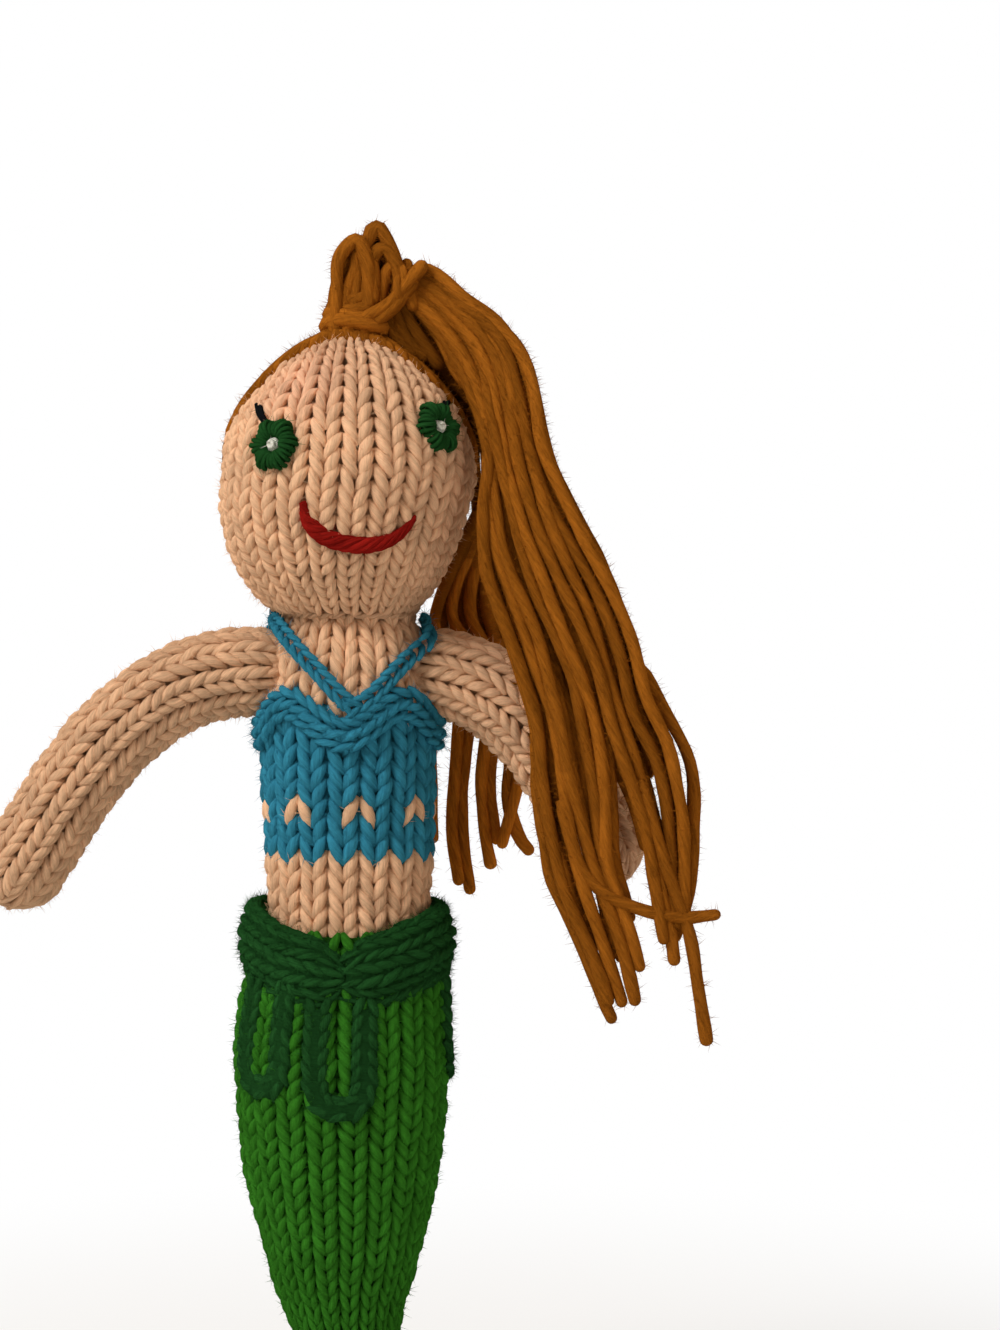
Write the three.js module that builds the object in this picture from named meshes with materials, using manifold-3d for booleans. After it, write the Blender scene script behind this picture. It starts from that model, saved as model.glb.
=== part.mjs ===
// Hand-knitted mermaid doll: stuffed head, torso, arms and tail, yarn hair gathered in a side ponytail.
// Millimetres, +Z up, the face looks along -Y. The origin is the middle of the bare waist.
import * as THREE from 'three';
import { mergeVertices } from 'three/addons/utils/BufferGeometryUtils.js';
import Module from 'manifold-3d';

const wasm = await Module();
wasm.setup();

// Fabric and fits
const fabricThickness = 3;
const clearance = 0.3;
const stuffingGap = 0.3;

// Head: a ball that is drawn in at the neck
const headRadius = 27.5;
const crownHeight = 32;
const headDrop = 29;
const neckRadius = 15.4;
const drawstringRadius = 0.9;
const neckCoreRadius = 7;

// Torso tube, from the waist to the neck line
const neckHeight = 63.4;
const chestHalfWidth = 19.2;
const chestHalfDepth = 16.5;
const waistHalfWidth = 17.8;
const shoulderDrop = 13.2;
const topHemHeight = 9.5;
const armpitDrop = 2;

// Arms: each is a bent stuffed tube with a round end in the shoulder
const armRadius = 9.2;
const handRadius = 8.3;
const rightReach = 53.2;
const rightDrop = 42.5;
const rightLift = 1;
const leftReach = 37;
const leftDrop = 37.3;
const leftLift = -3;

// Tail and the rolled band that covers its upper edge
const hipHalfWidth = 23.6;
const hipHalfDepth = 20;
const hipDepthBelowWaist = 38;
const tailLength = 112;
const ankleHalfWidth = 9.6;
const waistPivotDrop = 2;
const bandHeight = 17;
const bandThickness = 6.4;
const bandDrop = 9;
const bandDip = 6;
const bandSink = 3.2;

// Fin lobes
const lobeLength = 42;
const lobeWidth = 27;
const lobeThickness = 7;
const lobeSplay = 36;
const finRootRadius = 6;

// Face
const eyeRadius = 5.2;
const eyeThickness = 2.4;
const eyeRightHeight = 7.5;
const eyeRightAzimuth = -34;
const eyeLeftHeight = 11.4;
const eyeLeftAzimuth = 46;
const pupilRadius = 1.3;
const lashRadius = 0.7;
const lashLength = 5;
const lashLean = 43;
const mouthRadius = 1.8;
const mouthHalfAngle = 27;
const mouthHeight = -15.5;
const mouthCurl = 8.5;

// Blue cords of the top, and the scale loops on the tail
const strapRadius = 1.8;
const strapCrossing = 2;
const strapHang = 6.5;
const trimDrop = 3.4;
const trimScallop = 8.4;
const scaleCordRadius = 1.7;
const scaleWidth = 10.5;
const scaleDrop = 24;

// Hair
const capThickness = 3;
const hairlineRise = 22;
const hairlineLean = 35;
const knotRadius = 8;
const knotOffset = 10.5;
const knotHeight = 9.8;
const knotSetback = 1;
const bunGap = 1;
const bunRadius = 6.5;
const tuftRadius = 2.1;
const tuftHeight = 12;
const tieRadius = 1.2;
const lockPitch = 5.9;
const lockDepthPitch = 5.6;
const rootPitch = 2;
const ponytailLength = 152;
const drapeGap = 2;
const napeStrandRadius = 1.5;
const napeStrandPitch = 6.6;
const napeStrandGap = 3;

// Ranges of the soft joints, degrees, that the seats are cut to clear
const headTiltRange = 10;
const headTurnRange = 15;
const armRaiseRange = 30;
const waistBendRange = 18;
const finFlapRange = 30;
const armRestLean = 4;

// Heights and ratios that follow from the sizes above
const chinReach = headDrop / Math.sqrt(1 - (neckRadius / headRadius) ** 2);
const headCentre = neckHeight + headDrop;
const torsoTop = neckHeight - clearance - 2 * drawstringRadius;
const shoulderHeight = neckHeight - shoulderDrop;
const topEdgeHeight = shoulderHeight - armRadius - armpitDrop;
const torsoDepthRatio = chestHalfDepth / chestHalfWidth;
const tailDepthRatio = hipHalfDepth / hipHalfWidth;
const torsoEndHeight = waistHalfWidth * torsoDepthRatio;
const finPivot = new THREE.Vector3(0, 0, -tailLength);
const neckPivot = new THREE.Vector3(0, 0, torsoTop);
const knot = new THREE.Vector3(knotOffset, knotSetback, headCentre + crownHeight + knotHeight);
const reachLimit = 400;

// Facets round a large form, its inside, a limb and a cord
const bodySides = 20;
const insideSides = 14;
const limbSides = 10;
const cordSides = 6;

const yarn = {
  skin: new THREE.MeshStandardMaterial({ color: 0xe2b08b, roughness: 0.95, metalness: 0 }),
  blue: new THREE.MeshStandardMaterial({ color: 0x2e7694, roughness: 0.95, metalness: 0 }),
  green: new THREE.MeshStandardMaterial({ color: 0x2e681e, roughness: 0.95, metalness: 0 }),
  darkGreen: new THREE.MeshStandardMaterial({ color: 0x18421c, roughness: 0.95, metalness: 0 }),
  hair: new THREE.MeshStandardMaterial({ color: 0x8a4e14, roughness: 0.95, metalness: 0 }),
  red: new THREE.MeshStandardMaterial({ color: 0x841a16, roughness: 0.95, metalness: 0 }),
  white: new THREE.MeshStandardMaterial({ color: 0xdedece, roughness: 0.9, metalness: 0 }),
  black: new THREE.MeshStandardMaterial({ color: 0x16181a, roughness: 0.9, metalness: 0 }),
  stuffing: new THREE.MeshStandardMaterial({ color: 0xf2f0ea, roughness: 1, metalness: 0 }),
};

const doll = new THREE.Group();
const radians = THREE.MathUtils.degToRad;
const vector = (x, y, z) => new THREE.Vector3(x, y, z);

// A closed geometry as a solid with its faces pointing out
function solid(geometry) {
  const bare = geometry.index ? geometry.toNonIndexed() : geometry.clone();
  bare.deleteAttribute('normal');
  bare.deleteAttribute('uv');
  const merged = mergeVertices(bare, 1e-4);
  const index = merged.index.array;
  const faces = [];
  for (let i = 0; i < index.length; i += 3) {
    const [a, b, c] = [index[i], index[i + 1], index[i + 2]];
    if (a !== b && b !== c && c !== a) faces.push(a, b, c);
  }
  const vertProperties = new Float32Array(merged.attributes.position.array);
  const build = (triVerts) => new wasm.Manifold(new wasm.Mesh({ numProp: 3, vertProperties, triVerts }));
  const body = build(new Uint32Array(faces));
  return body.volume() > 0 ? body : build(new Uint32Array(faces).reverse());
}

// A named sub-part of the doll
function addPiece(name, body, material) {
  const mesh = body.getMesh();
  const geometry = new THREE.BufferGeometry();
  geometry.setAttribute('position', new THREE.BufferAttribute(new Float32Array(mesh.vertProperties), 3));
  geometry.setIndex(new THREE.BufferAttribute(new Uint32Array(mesh.triVerts), 1));
  geometry.computeVertexNormals();
  const piece = new THREE.Mesh(geometry, material);
  piece.name = name;
  doll.add(piece);
}

// An outline of radius and height turned about Z, with its depth scaled
function turned(outline, depthRatio = 1, sides = bodySides) {
  const geometry = new THREE.LatheGeometry(outline, sides);
  geometry.rotateX(Math.PI / 2);
  geometry.scale(1, depthRatio, 1);
  return solid(geometry);
}

function ball(centre, radius, sides = limbSides) {
  const geometry = new THREE.SphereGeometry(radius, sides, Math.round(sides / 2) + 1);
  geometry.translate(centre.x, centre.y, centre.z);
  return solid(geometry);
}

// Everything on the positive side of a plane through a point
function halfSpace(point, normal) {
  const geometry = new THREE.BoxGeometry(reachLimit, reachLimit, reachLimit);
  geometry.translate(0, 0, reachLimit / 2);
  const turn = new THREE.Quaternion().setFromUnitVectors(vector(0, 0, 1), normal.clone().normalize());
  geometry.applyQuaternion(turn);
  geometry.translate(point.x, point.y, point.z);
  return solid(geometry);
}

// A body turned about an axis through a pivot, by degrees
function turnedAbout(body, pivot, axis, angle) {
  const spin = new THREE.Matrix4().makeRotationAxis(axis, radians(angle));
  const place = new THREE.Matrix4().makeTranslation(pivot.x, pivot.y, pivot.z);
  const back = new THREE.Matrix4().makeTranslation(-pivot.x, -pivot.y, -pivot.z);
  return body.transform(place.multiply(spin).multiply(back).elements);
}

// A tube along a curve
function cord(curve, radius, steps, sides = cordSides) {
  const rim = [];
  for (let i = 0; i < sides; i += 1) {
    const turn = (2 * Math.PI * i) / sides;
    rim.push(new THREE.Vector2(radius * Math.cos(turn), radius * Math.sin(turn)));
  }
  const options = { steps, extrudePath: curve, bevelEnabled: false };
  return solid(new THREE.ExtrudeGeometry(new THREE.Shape(rim), options));
}

// Rings of points joined into a closed skin, each end drawn to its middle
function loft(rings) {
  const sides = rings[0].length;
  const points = rings.flat();
  const middle = (ring) => ring.reduce((sum, p) => sum.add(p), vector(0, 0, 0)).divideScalar(sides);
  points.push(middle(rings[0]), middle(rings[rings.length - 1]));
  const faces = [];
  const last = (rings.length - 1) * sides;
  for (let i = 0; i < sides; i += 1) {
    const next = (i + 1) % sides;
    for (let start = 0; start < last; start += sides) {
      faces.push(start + i, start + next, start + sides + next);
      faces.push(start + i, start + sides + next, start + sides + i);
    }
    faces.push(points.length - 2, next, i);
    faces.push(points.length - 1, last + i, last + next);
  }
  const geometry = new THREE.BufferGeometry().setFromPoints(points);
  geometry.setIndex(faces);
  return solid(geometry);
}

// A round limb along a curve whose radius changes on the way, with domed ends if asked for
function limb(curve, steps, sides, radiusAt, domed = false) {
  const frames = curve.computeFrenetFrames(steps, false);
  const rings = [];
  const addRing = (i, radius, beyond) => {
    const centre = curve.getPointAt(i / steps).addScaledVector(frames.tangents[i], beyond);
    const ring = [];
    for (let k = 0; k < sides; k += 1) {
      const turn = (2 * Math.PI * k) / sides;
      const point = centre.clone().addScaledVector(frames.normals[i], radius * Math.cos(turn));
      ring.push(point.addScaledVector(frames.binormals[i], radius * Math.sin(turn)));
    }
    rings.push(ring);
  };
  const domeAngles = domed ? [82, 55, 28].map(radians) : [];
  domeAngles.forEach((angle) => addRing(0, radiusAt(0) * Math.cos(angle), -radiusAt(0) * Math.sin(angle)));
  for (let i = 0; i <= steps; i += 1) addRing(i, radiusAt(i / steps), 0);
  domeAngles.reverse().forEach((angle) => {
    addRing(steps, radiusAt(1) * Math.cos(angle), radiusAt(1) * Math.sin(angle));
  });
  return loft(rings);
}

// Radius of an outline at a height, and how fast it grows upwards there
function outlineAt(outline, height) {
  const above = outline.findIndex((p) => p.y >= height && p.x > 0);
  const upper = outline[above];
  const lower = outline[above - 1];
  const radius = THREE.MathUtils.mapLinear(height, lower.y, upper.y, lower.x, upper.x);
  return { radius, growth: (upper.x - lower.x) / (upper.y - lower.y) };
}

// A point lifted off a turned form; azimuth 0 is the front and grows towards +X
function onForm(outline, depthRatio, azimuth, height, lift) {
  const { radius, growth } = outlineAt(outline, height);
  const side = Math.sin(radians(azimuth));
  const front = Math.cos(radians(azimuth));
  const out = vector(side, -front / depthRatio, -growth).normalize();
  return vector(radius * side, -radius * depthRatio * front, height).addScaledVector(out, lift);
}

// Head ball, grown or shrunk by an amount, from the neck line up, with a straight neck below it if asked for
function headBall(grow, straightNeck = 0, rings = 12, sides = bodySides) {
  const start = -Math.asin(headDrop / (chinReach + grow));
  const outline = [];
  for (let i = 0; i <= rings; i += 1) {
    const rise = THREE.MathUtils.mapLinear(i, 0, rings, start, Math.PI / 2);
    const reach = (rise > 0 ? crownHeight : chinReach) + grow;
    const radius = i === rings ? 0 : (headRadius + grow) * Math.cos(rise);
    outline.push(new THREE.Vector2(radius, headCentre + reach * Math.sin(rise)));
  }
  if (straightNeck > 0) outline.unshift(new THREE.Vector2(outline[0].x, neckHeight - straightNeck));
  outline.unshift(new THREE.Vector2(0, outline[0].y));
  return turned(outline, 1, sides);
}

// A point lifted off the head, at an azimuth and a rise above its middle, and the way out from it there
function onHead(azimuth, rise, lift) {
  const height = headCentre + rise;
  const reach = rise > 0 ? crownHeight : chinReach;
  const radius = headRadius * Math.sqrt(1 - (rise / reach) ** 2);
  const side = Math.sin(radians(azimuth));
  const front = Math.cos(radians(azimuth));
  const out = vector(radius * side, -radius * front, rise * (headRadius / reach) ** 2).normalize();
  return { point: vector(radius * side, -radius * front, height).addScaledVector(out, lift), out };
}

// The head's cover is open at the neck, where the torso's core reaches into the stuffing
function addHead() {
  const inside = headBall(-fabricThickness, fabricThickness, 8, insideSides);
  const fill = headBall(-fabricThickness - stuffingGap, 0, 8, insideSides);
  const core = ball(neckPivot, neckCoreRadius + 2 * clearance, bodySides);
  addPiece('head_cover', headBall(0).subtract(inside), yarn.skin);
  addPiece('head_stuffing', fill.subtract(core), yarn.stuffing);
}

// Torso outline: a round end inside the tail, the bare waist, the chest, shoulders that slope enough
// for the head to tilt, and the round neck core that fills the head's opening
function torsoOutline(inset) {
  const end = new THREE.EllipseCurve(0, -waistPivotDrop, waistHalfWidth - inset, torsoEndHeight - inset,
    -Math.PI / 2, 0).getPoints(5);
  const slope = Math.tan(radians(headTiltRange));
  const ringReach = neckRadius - drawstringRadius;
  const shoulderTop = torsoTop - clearance - ringReach * slope;
  const side = new THREE.SplineCurve([
    new THREE.Vector2(waistHalfWidth - inset, -waistPivotDrop),
    new THREE.Vector2(chestHalfWidth - inset, 0.45 * shoulderHeight),
    new THREE.Vector2(chestHalfWidth - inset, shoulderHeight - armRadius / 2),
    new THREE.Vector2((ringReach + chestHalfWidth) / 2 - inset, shoulderTop - inset - fabricThickness / 2),
    new THREE.Vector2(ringReach - inset, shoulderTop - inset),
  ]).getPoints(7);
  const core = new THREE.EllipseCurve(0, torsoTop, neckCoreRadius - inset, neckCoreRadius - inset,
    -radians(headTiltRange), Math.PI / 2).getPoints(4);
  end[0].x = 0;
  core[core.length - 1].x = 0;
  return [...end.slice(0, -1), ...side, ...core];
}

const torsoSkin = torsoOutline(0);
const onTorso = (azimuth, height, lift) => onForm(torsoSkin, torsoDepthRatio, azimuth, height, lift);

function torsoSolid(inset) {
  return turned(torsoOutline(inset), torsoDepthRatio, inset > 0 ? insideSides : bodySides);
}

// Shoulder pivots and the arms' middle lines
const shoulderOffset = outlineAt(torsoSkin, shoulderHeight).radius;
const shoulders = {
  right: vector(-shoulderOffset, 0, shoulderHeight),
  left: vector(shoulderOffset, 0, shoulderHeight),
};

function armCurve(shoulder, side, reach, drop, lift) {
  const along = (x, z) => shoulder.clone().add(vector(side * x, 0, z));
  return new THREE.CubicBezierCurve3(
    shoulder.clone(),
    along(0.43 * reach, lift),
    along(0.665 * reach, -0.32 * drop),
    along(reach, -drop),
  );
}

const armLines = {
  right: armCurve(shoulders.right, -1, rightReach, rightDrop, rightLift),
  left: armCurve(shoulders.left, 1, leftReach, leftDrop, leftLift),
};

function armSolid(side, grow) {
  const radiusAt = (t) => THREE.MathUtils.lerp(armRadius, handRadius, t) + grow;
  return limb(armLines[side], 6, limbSides, radiusAt, true);
}

// The mouth of the arm's cover, open towards the torso
function armMouth(side, radius) {
  const start = shoulders[side];
  const inner = start.clone().add(vector(-Math.sign(start.x) * armRadius * 2, 0, 0));
  return cord(new THREE.LineCurve3(start, inner), radius, 1, limbSides);
}

// An arm's cover and its stuffing
function addArm(side) {
  const inside = armSolid(side, -fabricThickness).add(armMouth(side, armRadius - 2 * fabricThickness));
  addPiece(`arm_${side}_cover`, armSolid(side, 0).subtract(inside), yarn.skin);
  addPiece(`arm_${side}_stuffing`, armSolid(side, -fabricThickness - stuffingGap), yarn.stuffing);
}

// Room in the torso for an arm's round root, flared so that the arm can be lowered and raised
function armSeat(side) {
  const lean = armRaiseRange + armRestLean;
  const radius = armRadius + clearance;
  const pocket = new THREE.EllipseCurve(0, 0, radius, radius, -Math.PI / 2, -radians(lean)).getPoints(4);
  const rim = radius / Math.cos(radians(lean));
  pocket[0].x = 0;
  const outline = [
    ...pocket,
    new THREE.Vector2(rim + radius * Math.tan(radians(lean)), radius),
    new THREE.Vector2(0, radius),
  ];
  const seat = new THREE.LatheGeometry(outline, limbSides + 2);
  const shoulder = shoulders[side];
  seat.rotateZ((-Math.sign(shoulder.x) * Math.PI) / 2);
  seat.translate(shoulder.x, shoulder.y, shoulder.z);
  return solid(seat);
}

// The yarn that gathers the neck
function addDrawstring() {
  const reach = neckRadius - 2 * drawstringRadius;
  const ring = new THREE.TorusGeometry(reach, drawstringRadius, cordSides, bodySides);
  ring.translate(0, 0, neckHeight - clearance - drawstringRadius);
  addPiece('neck_drawstring', solid(ring), yarn.skin);
}

// The torso is one tube knitted in three bands of colour
function addTorso() {
  const seats = armSeat('right').add(armSeat('left'));
  const opening = turned([
    new THREE.Vector2(0, -reachLimit / 2),
    new THREE.Vector2(waistHalfWidth / 2, -reachLimit / 2),
    new THREE.Vector2(waistHalfWidth / 2, 0),
    new THREE.Vector2(0, 0),
  ], torsoDepthRatio);
  const tube = torsoSolid(0).subtract(torsoSolid(fabricThickness).add(opening)).subtract(seats);
  const above = (height) => halfSpace(vector(0, 0, height), vector(0, 0, 1));
  const below = (height) => halfSpace(vector(0, 0, height), vector(0, 0, -1));
  addPiece('waist_knit', tube.intersect(below(topHemHeight - clearance)), yarn.skin);
  addPiece('top_knit', tube.intersect(above(topHemHeight)).intersect(below(topEdgeHeight)), yarn.blue);
  addPiece('chest_knit', tube.intersect(above(topEdgeHeight + clearance)), yarn.skin);
  addPiece('torso_stuffing', torsoSolid(fabricThickness + stuffingGap).subtract(seats), yarn.stuffing);
}

// Tail outline: the edge under the band, the hips and the taper to the fin
function tailOutline(inset) {
  const rim = waistHalfWidth + clearance + fabricThickness - inset;
  const taper = (share) => -THREE.MathUtils.lerp(hipDepthBelowWaist, tailLength, share);
  const width = (share) => THREE.MathUtils.lerp(ankleHalfWidth, hipHalfWidth, share) - inset;
  const side = new THREE.SplineCurve([
    new THREE.Vector2(width(0), -tailLength),
    new THREE.Vector2(width(0.2), taper(0.76)),
    new THREE.Vector2(width(0.6), taper(0.5)),
    new THREE.Vector2(width(0.9), taper(0.24)),
    new THREE.Vector2(width(1), -hipDepthBelowWaist),
    new THREE.Vector2(width(0.97), -bandDrop - bandHeight),
    new THREE.Vector2(rim, -bandDrop),
    new THREE.Vector2(rim - fabricThickness / 5, -bandDrop / 2),
  ]).getPoints(10);
  const top = side[side.length - 1].y;
  return [new THREE.Vector2(0, -tailLength), ...side, new THREE.Vector2(0, top)];
}

const tailSkin = tailOutline(0);
const onTail = (azimuth, height, lift) => onForm(tailSkin, tailDepthRatio, azimuth, height, lift);

function tailSolid(inset) {
  return turned(tailOutline(inset), tailDepthRatio, inset > 0 ? insideSides : bodySides);
}

// Room for the torso's round end, flared upwards so that the tail can bend to and fro at the waist
function torsoRoom() {
  const bend = radians(waistBendRange);
  const half = waistHalfWidth + 2 * clearance;
  const end = new THREE.EllipseCurve(0, -waistPivotDrop, half, half * torsoDepthRatio, -Math.PI / 2, -bend);
  const rise = bandHeight;
  const mouth = (half + (chestHalfWidth - waistHalfWidth) / 2) / Math.cos(bend);
  const rim = mouth + (rise * Math.tan(bend)) / torsoDepthRatio;
  const outline = end.getPoints(5);
  outline[0].x = 0;
  outline.push(new THREE.Vector2(rim, rise - waistPivotDrop), new THREE.Vector2(0, rise - waistPivotDrop));
  return turned(outline, torsoDepthRatio);
}

// The band is a rolled strip that dips at the front, where its two ends are brought together
function bandRing() {
  const steps = 20;
  const corners = 8;
  const middle = waistHalfWidth + clearance + fabricThickness + bandThickness / 2 - bandSink;
  const endGap = clearance / middle;
  const rings = [];
  for (let i = 0; i <= steps; i += 1) {
    const turn = THREE.MathUtils.mapLinear(i, 0, steps, endGap, 2 * Math.PI - endGap);
    const drop = bandDrop + bandDip * Math.cos(turn) ** 3;
    const ring = [];
    for (let k = 0; k < corners; k += 1) {
      const around = (2 * Math.PI * k) / corners;
      const radius = middle + (bandThickness / 2) * Math.cos(around);
      const height = (bandHeight / 2) * Math.sin(around) - drop;
      ring.push(vector(radius * Math.sin(turn), -radius * tailDepthRatio * Math.cos(turn), height));
    }
    rings.push(ring);
  }
  return loft(rings);
}

function addTail() {
  const room = torsoRoom();
  const finRoom = ball(finPivot, finRootRadius + 2 * clearance);
  const cuts = room.add(finRoom);
  const cover = tailSolid(0).subtract(tailSolid(fabricThickness)).subtract(cuts);
  addPiece('tail_cover', cover, yarn.green);
  addPiece('tail_stuffing', tailSolid(fabricThickness + stuffingGap).subtract(cuts), yarn.stuffing);
  addPiece('waistband', bandRing().subtract(tailSolid(-clearance).add(room)), yarn.darkGreen);
}

// A fin lobe is a stuffed leaf that turns on a round root in the tail's end
function addFinLobe(side, sign) {
  const lean = radians(lobeSplay);
  const root = finPivot.clone();
  const tip = root.clone().add(vector(sign * lobeLength * Math.sin(lean), 0, -lobeLength * Math.cos(lean)));
  const bow = root.clone().lerp(tip, 0.5).add(vector(sign * lobeLength, 0, -lobeLength).multiplyScalar(0.07));
  const line = new THREE.QuadraticBezierCurve3(root, bow, tip);
  const steps = 10;
  const rings = [];
  for (let i = 0; i <= steps; i += 1) {
    const t = i / steps;
    const along = line.getTangentAt(t);
    const across = vector(-along.z, 0, along.x);
    const swell = Math.sin(Math.PI * Math.min(1, 0.16 + 0.82 * t)) ** 0.8;
    const ring = [];
    for (let k = 0; k < limbSides; k += 1) {
      const turn = (2 * Math.PI * k) / limbSides;
      const point = line.getPointAt(t);
      point.addScaledVector(across, (lobeWidth / 2) * swell * Math.cos(turn));
      point.y += (lobeThickness / 2) * swell ** 0.5 * Math.sin(turn);
      ring.push(point);
    }
    rings.push(ring);
  }
  const own = halfSpace(vector((sign * clearance) / 2, 0, 0), vector(sign, 0, 0));
  const rootDepth = (lobeThickness / 2) * Math.tan(radians(finFlapRange)) + clearance;
  const under = halfSpace(finPivot.clone().add(vector(0, 0, -rootDepth)), vector(0, 0, -1));
  const leaf = loft(rings).intersect(under).add(ball(finPivot, finRootRadius));
  addPiece(`fin_lobe_${side}`, leaf.intersect(own), yarn.darkGreen);
}

// An eye is a rosette of loops round a white knot, with one lash stitch beside it
function addEye(side, azimuth, rise, lashTurn) {
  const lean = radians(lashTurn);
  const face = headBall(clearance);
  const { point, out } = onHead(azimuth, rise, 0);
  const petals = 5;
  const rim = new THREE.Shape();
  const steps = 30;
  for (let i = 0; i < steps; i += 1) {
    const turn = (2 * Math.PI * i) / steps;
    const radius = eyeRadius * (0.9 + 0.1 * Math.cos(petals * turn));
    const [x, y] = [radius * Math.cos(turn), radius * Math.sin(turn)];
    if (i === 0) rim.moveTo(x, y);
    else rim.lineTo(x, y);
  }
  const hole = new THREE.Path();
  hole.absarc(0, 0, pupilRadius + clearance, 0, 2 * Math.PI, true);
  rim.holes.push(hole);
  const depth = eyeThickness + eyeRadius / 2;
  const disc = new THREE.ExtrudeGeometry(rim, { depth, bevelEnabled: false, curveSegments: 5 });
  const facing = new THREE.Quaternion().setFromUnitVectors(vector(0, 0, 1), out);
  disc.translate(0, 0, eyeThickness - depth);
  disc.applyQuaternion(facing);
  disc.translate(point.x, point.y, point.z);
  addPiece(`eye_${side}`, solid(disc).subtract(face), yarn.darkGreen);
  const centre = point.clone().addScaledVector(out, eyeThickness - pupilRadius / 2);
  addPiece(`eye_knot_${side}`, ball(centre, pupilRadius, 10).subtract(face), yarn.white);
  const level = vector(0, 0, 1).cross(out).normalize();
  const upward = out.clone().cross(level);
  const heading = level.multiplyScalar(Math.sin(lean)).addScaledVector(upward, Math.cos(lean));
  const onFace = (reach) => {
    const lift = lashRadius + clearance - reach ** 2 / (2 * headRadius);
    return point.clone().addScaledVector(heading, reach).addScaledVector(out, lift);
  };
  const lashEnds = [onFace(eyeRadius + lashRadius), onFace(eyeRadius + lashLength)];
  const lash = cord(new THREE.LineCurve3(...lashEnds), lashRadius, 1);
  addPiece(`lash_${side}`, lash.subtract(face), yarn.black);
}

// The mouth is one thick red stitch line that turns up at both corners
function addMouth() {
  const points = [-1, -0.55, 0, 0.55, 1].map((share) => (
    onHead(6 + share * mouthHalfAngle, mouthHeight + mouthCurl * share ** 2, mouthRadius / 2).point));
  const line = new THREE.CatmullRomCurve3(points);
  addPiece('mouth', cord(line, mouthRadius, 12).subtract(headBall(clearance)), yarn.red);
}

// Crossed straps and the scalloped cord along the upper edge of the top
function addTopCords() {
  const lift = strapRadius + clearance;
  const start = topEdgeHeight + trimDrop + strapRadius;
  const rise = neckHeight - strapHang - start;
  const route = [[4, 0.11], [14, 0.37], [27, 0.64], [42, 0.87], [55, 1]];
  for (const [side, sign] of [['right', -1], ['left', 1]]) {
    const points = route.map(([turn, share]) => (
      onTorso(sign * turn + strapCrossing, start + rise * share, lift)));
    addPiece(`strap_${side}`, cord(new THREE.CatmullRomCurve3(points), strapRadius, 10), yarn.blue);
  }
  const trim = [];
  const steps = 24;
  for (let i = 0; i <= steps; i += 1) {
    const turn = THREE.MathUtils.mapLinear(i, 0, steps, -177, 177);
    const cup = Math.abs(turn) < 80 ? Math.sin(radians(turn * 2.25)) ** 2 : 0;
    trim.push(onTorso(turn, topEdgeHeight - trimDrop + trimScallop * cup, lift));
  }
  addPiece('bust_trim', cord(new THREE.CatmullRomCurve3(trim), strapRadius, 28), yarn.blue);
}

// Scale loops hang from the band's lower edge and lie on the tail
function addScaleLoops() {
  const places = [-44, 2, 95, 158, -128];
  places.forEach((azimuth, i) => {
    const dip = bandDip * Math.cos(radians(azimuth)) ** 3;
    const top = -bandDrop - dip - bandHeight / 2 - scaleCordRadius - clearance;
    const points = [];
    const steps = 8;
    for (let k = 0; k <= steps; k += 1) {
      const share = THREE.MathUtils.mapLinear(k, 0, steps, -1, 1);
      const height = top - scaleDrop * (1 - Math.abs(share) ** 3);
      const width = scaleWidth * Math.sign(share) * Math.min(1, 1.6 * Math.abs(share)) ** 0.7;
      const spread = THREE.MathUtils.radToDeg(width / 2 / hipHalfWidth);
      points.push(onTail(azimuth + spread, height, scaleCordRadius + clearance));
    }
    const line = new THREE.CatmullRomCurve3(points);
    addPiece(`scale_loop_${i + 1}`, cord(line, scaleCordRadius, 15), yarn.darkGreen);
  });
}

// Hair laid over the crown and the back of the head, behind a hairline that slopes back to the nape
function addHairCap() {
  const backward = vector(0, 1, Math.tan(radians(hairlineLean)));
  const hairline = halfSpace(vector(0, 0, headCentre + hairlineRise), backward);
  const shell = headBall(clearance + capThickness, 0, 10).subtract(headBall(clearance, 1));
  addPiece('hair_cap', shell.intersect(hairline), yarn.hair);
}

// The knot of hair on the crown, with tufts above it and the ponytail's seat on its side
function bunSolid(grow) {
  const mound = new THREE.SphereGeometry(bunRadius + grow, 14, 9);
  mound.scale(1, 1, 1.15);
  mound.translate(knot.x - knotRadius - bunGap, knot.y, knot.z - bunRadius / 2);
  return solid(mound);
}

function addTopknot() {
  const crown = headBall(capThickness + 2 * clearance);
  const knotRoom = ball(knot, knotRadius + 2 * clearance, 12);
  const seat = [-headTurnRange, 0, headTurnRange]
    .map((angle) => turnedAbout(knotRoom, neckPivot, vector(0, 0, 1), angle))
    .reduce((room, next) => room.add(next));
  addPiece('topknot', bunSolid(0).subtract(crown).subtract(seat), yarn.hair);
  const keepClear = bunSolid(clearance).add(seat);
  const foot = knot.clone().add(vector(-knotRadius - bunGap, 0, bunRadius / 4));
  const tufts = [[-0.5, -0.15, 0.15, 0.75], [0, 0.35, 0.55, 1], [0.25, -0.4, 0.9, 0.85]];
  tufts.forEach(([x, y, lean, rise], i) => {
    const start = foot.clone().add(vector(x * bunRadius, y * bunRadius, 0));
    const peak = start.clone().add(vector(lean * bunRadius, 0, rise * tuftHeight));
    const tuft = limb(new THREE.LineCurve3(start, peak), 5, 8, (t) => tuftRadius * Math.sqrt(1.05 - t ** 2));
    addPiece(`topknot_tuft_${i + 1}`, tuft.subtract(keepClear), yarn.hair);
  });
}

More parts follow.
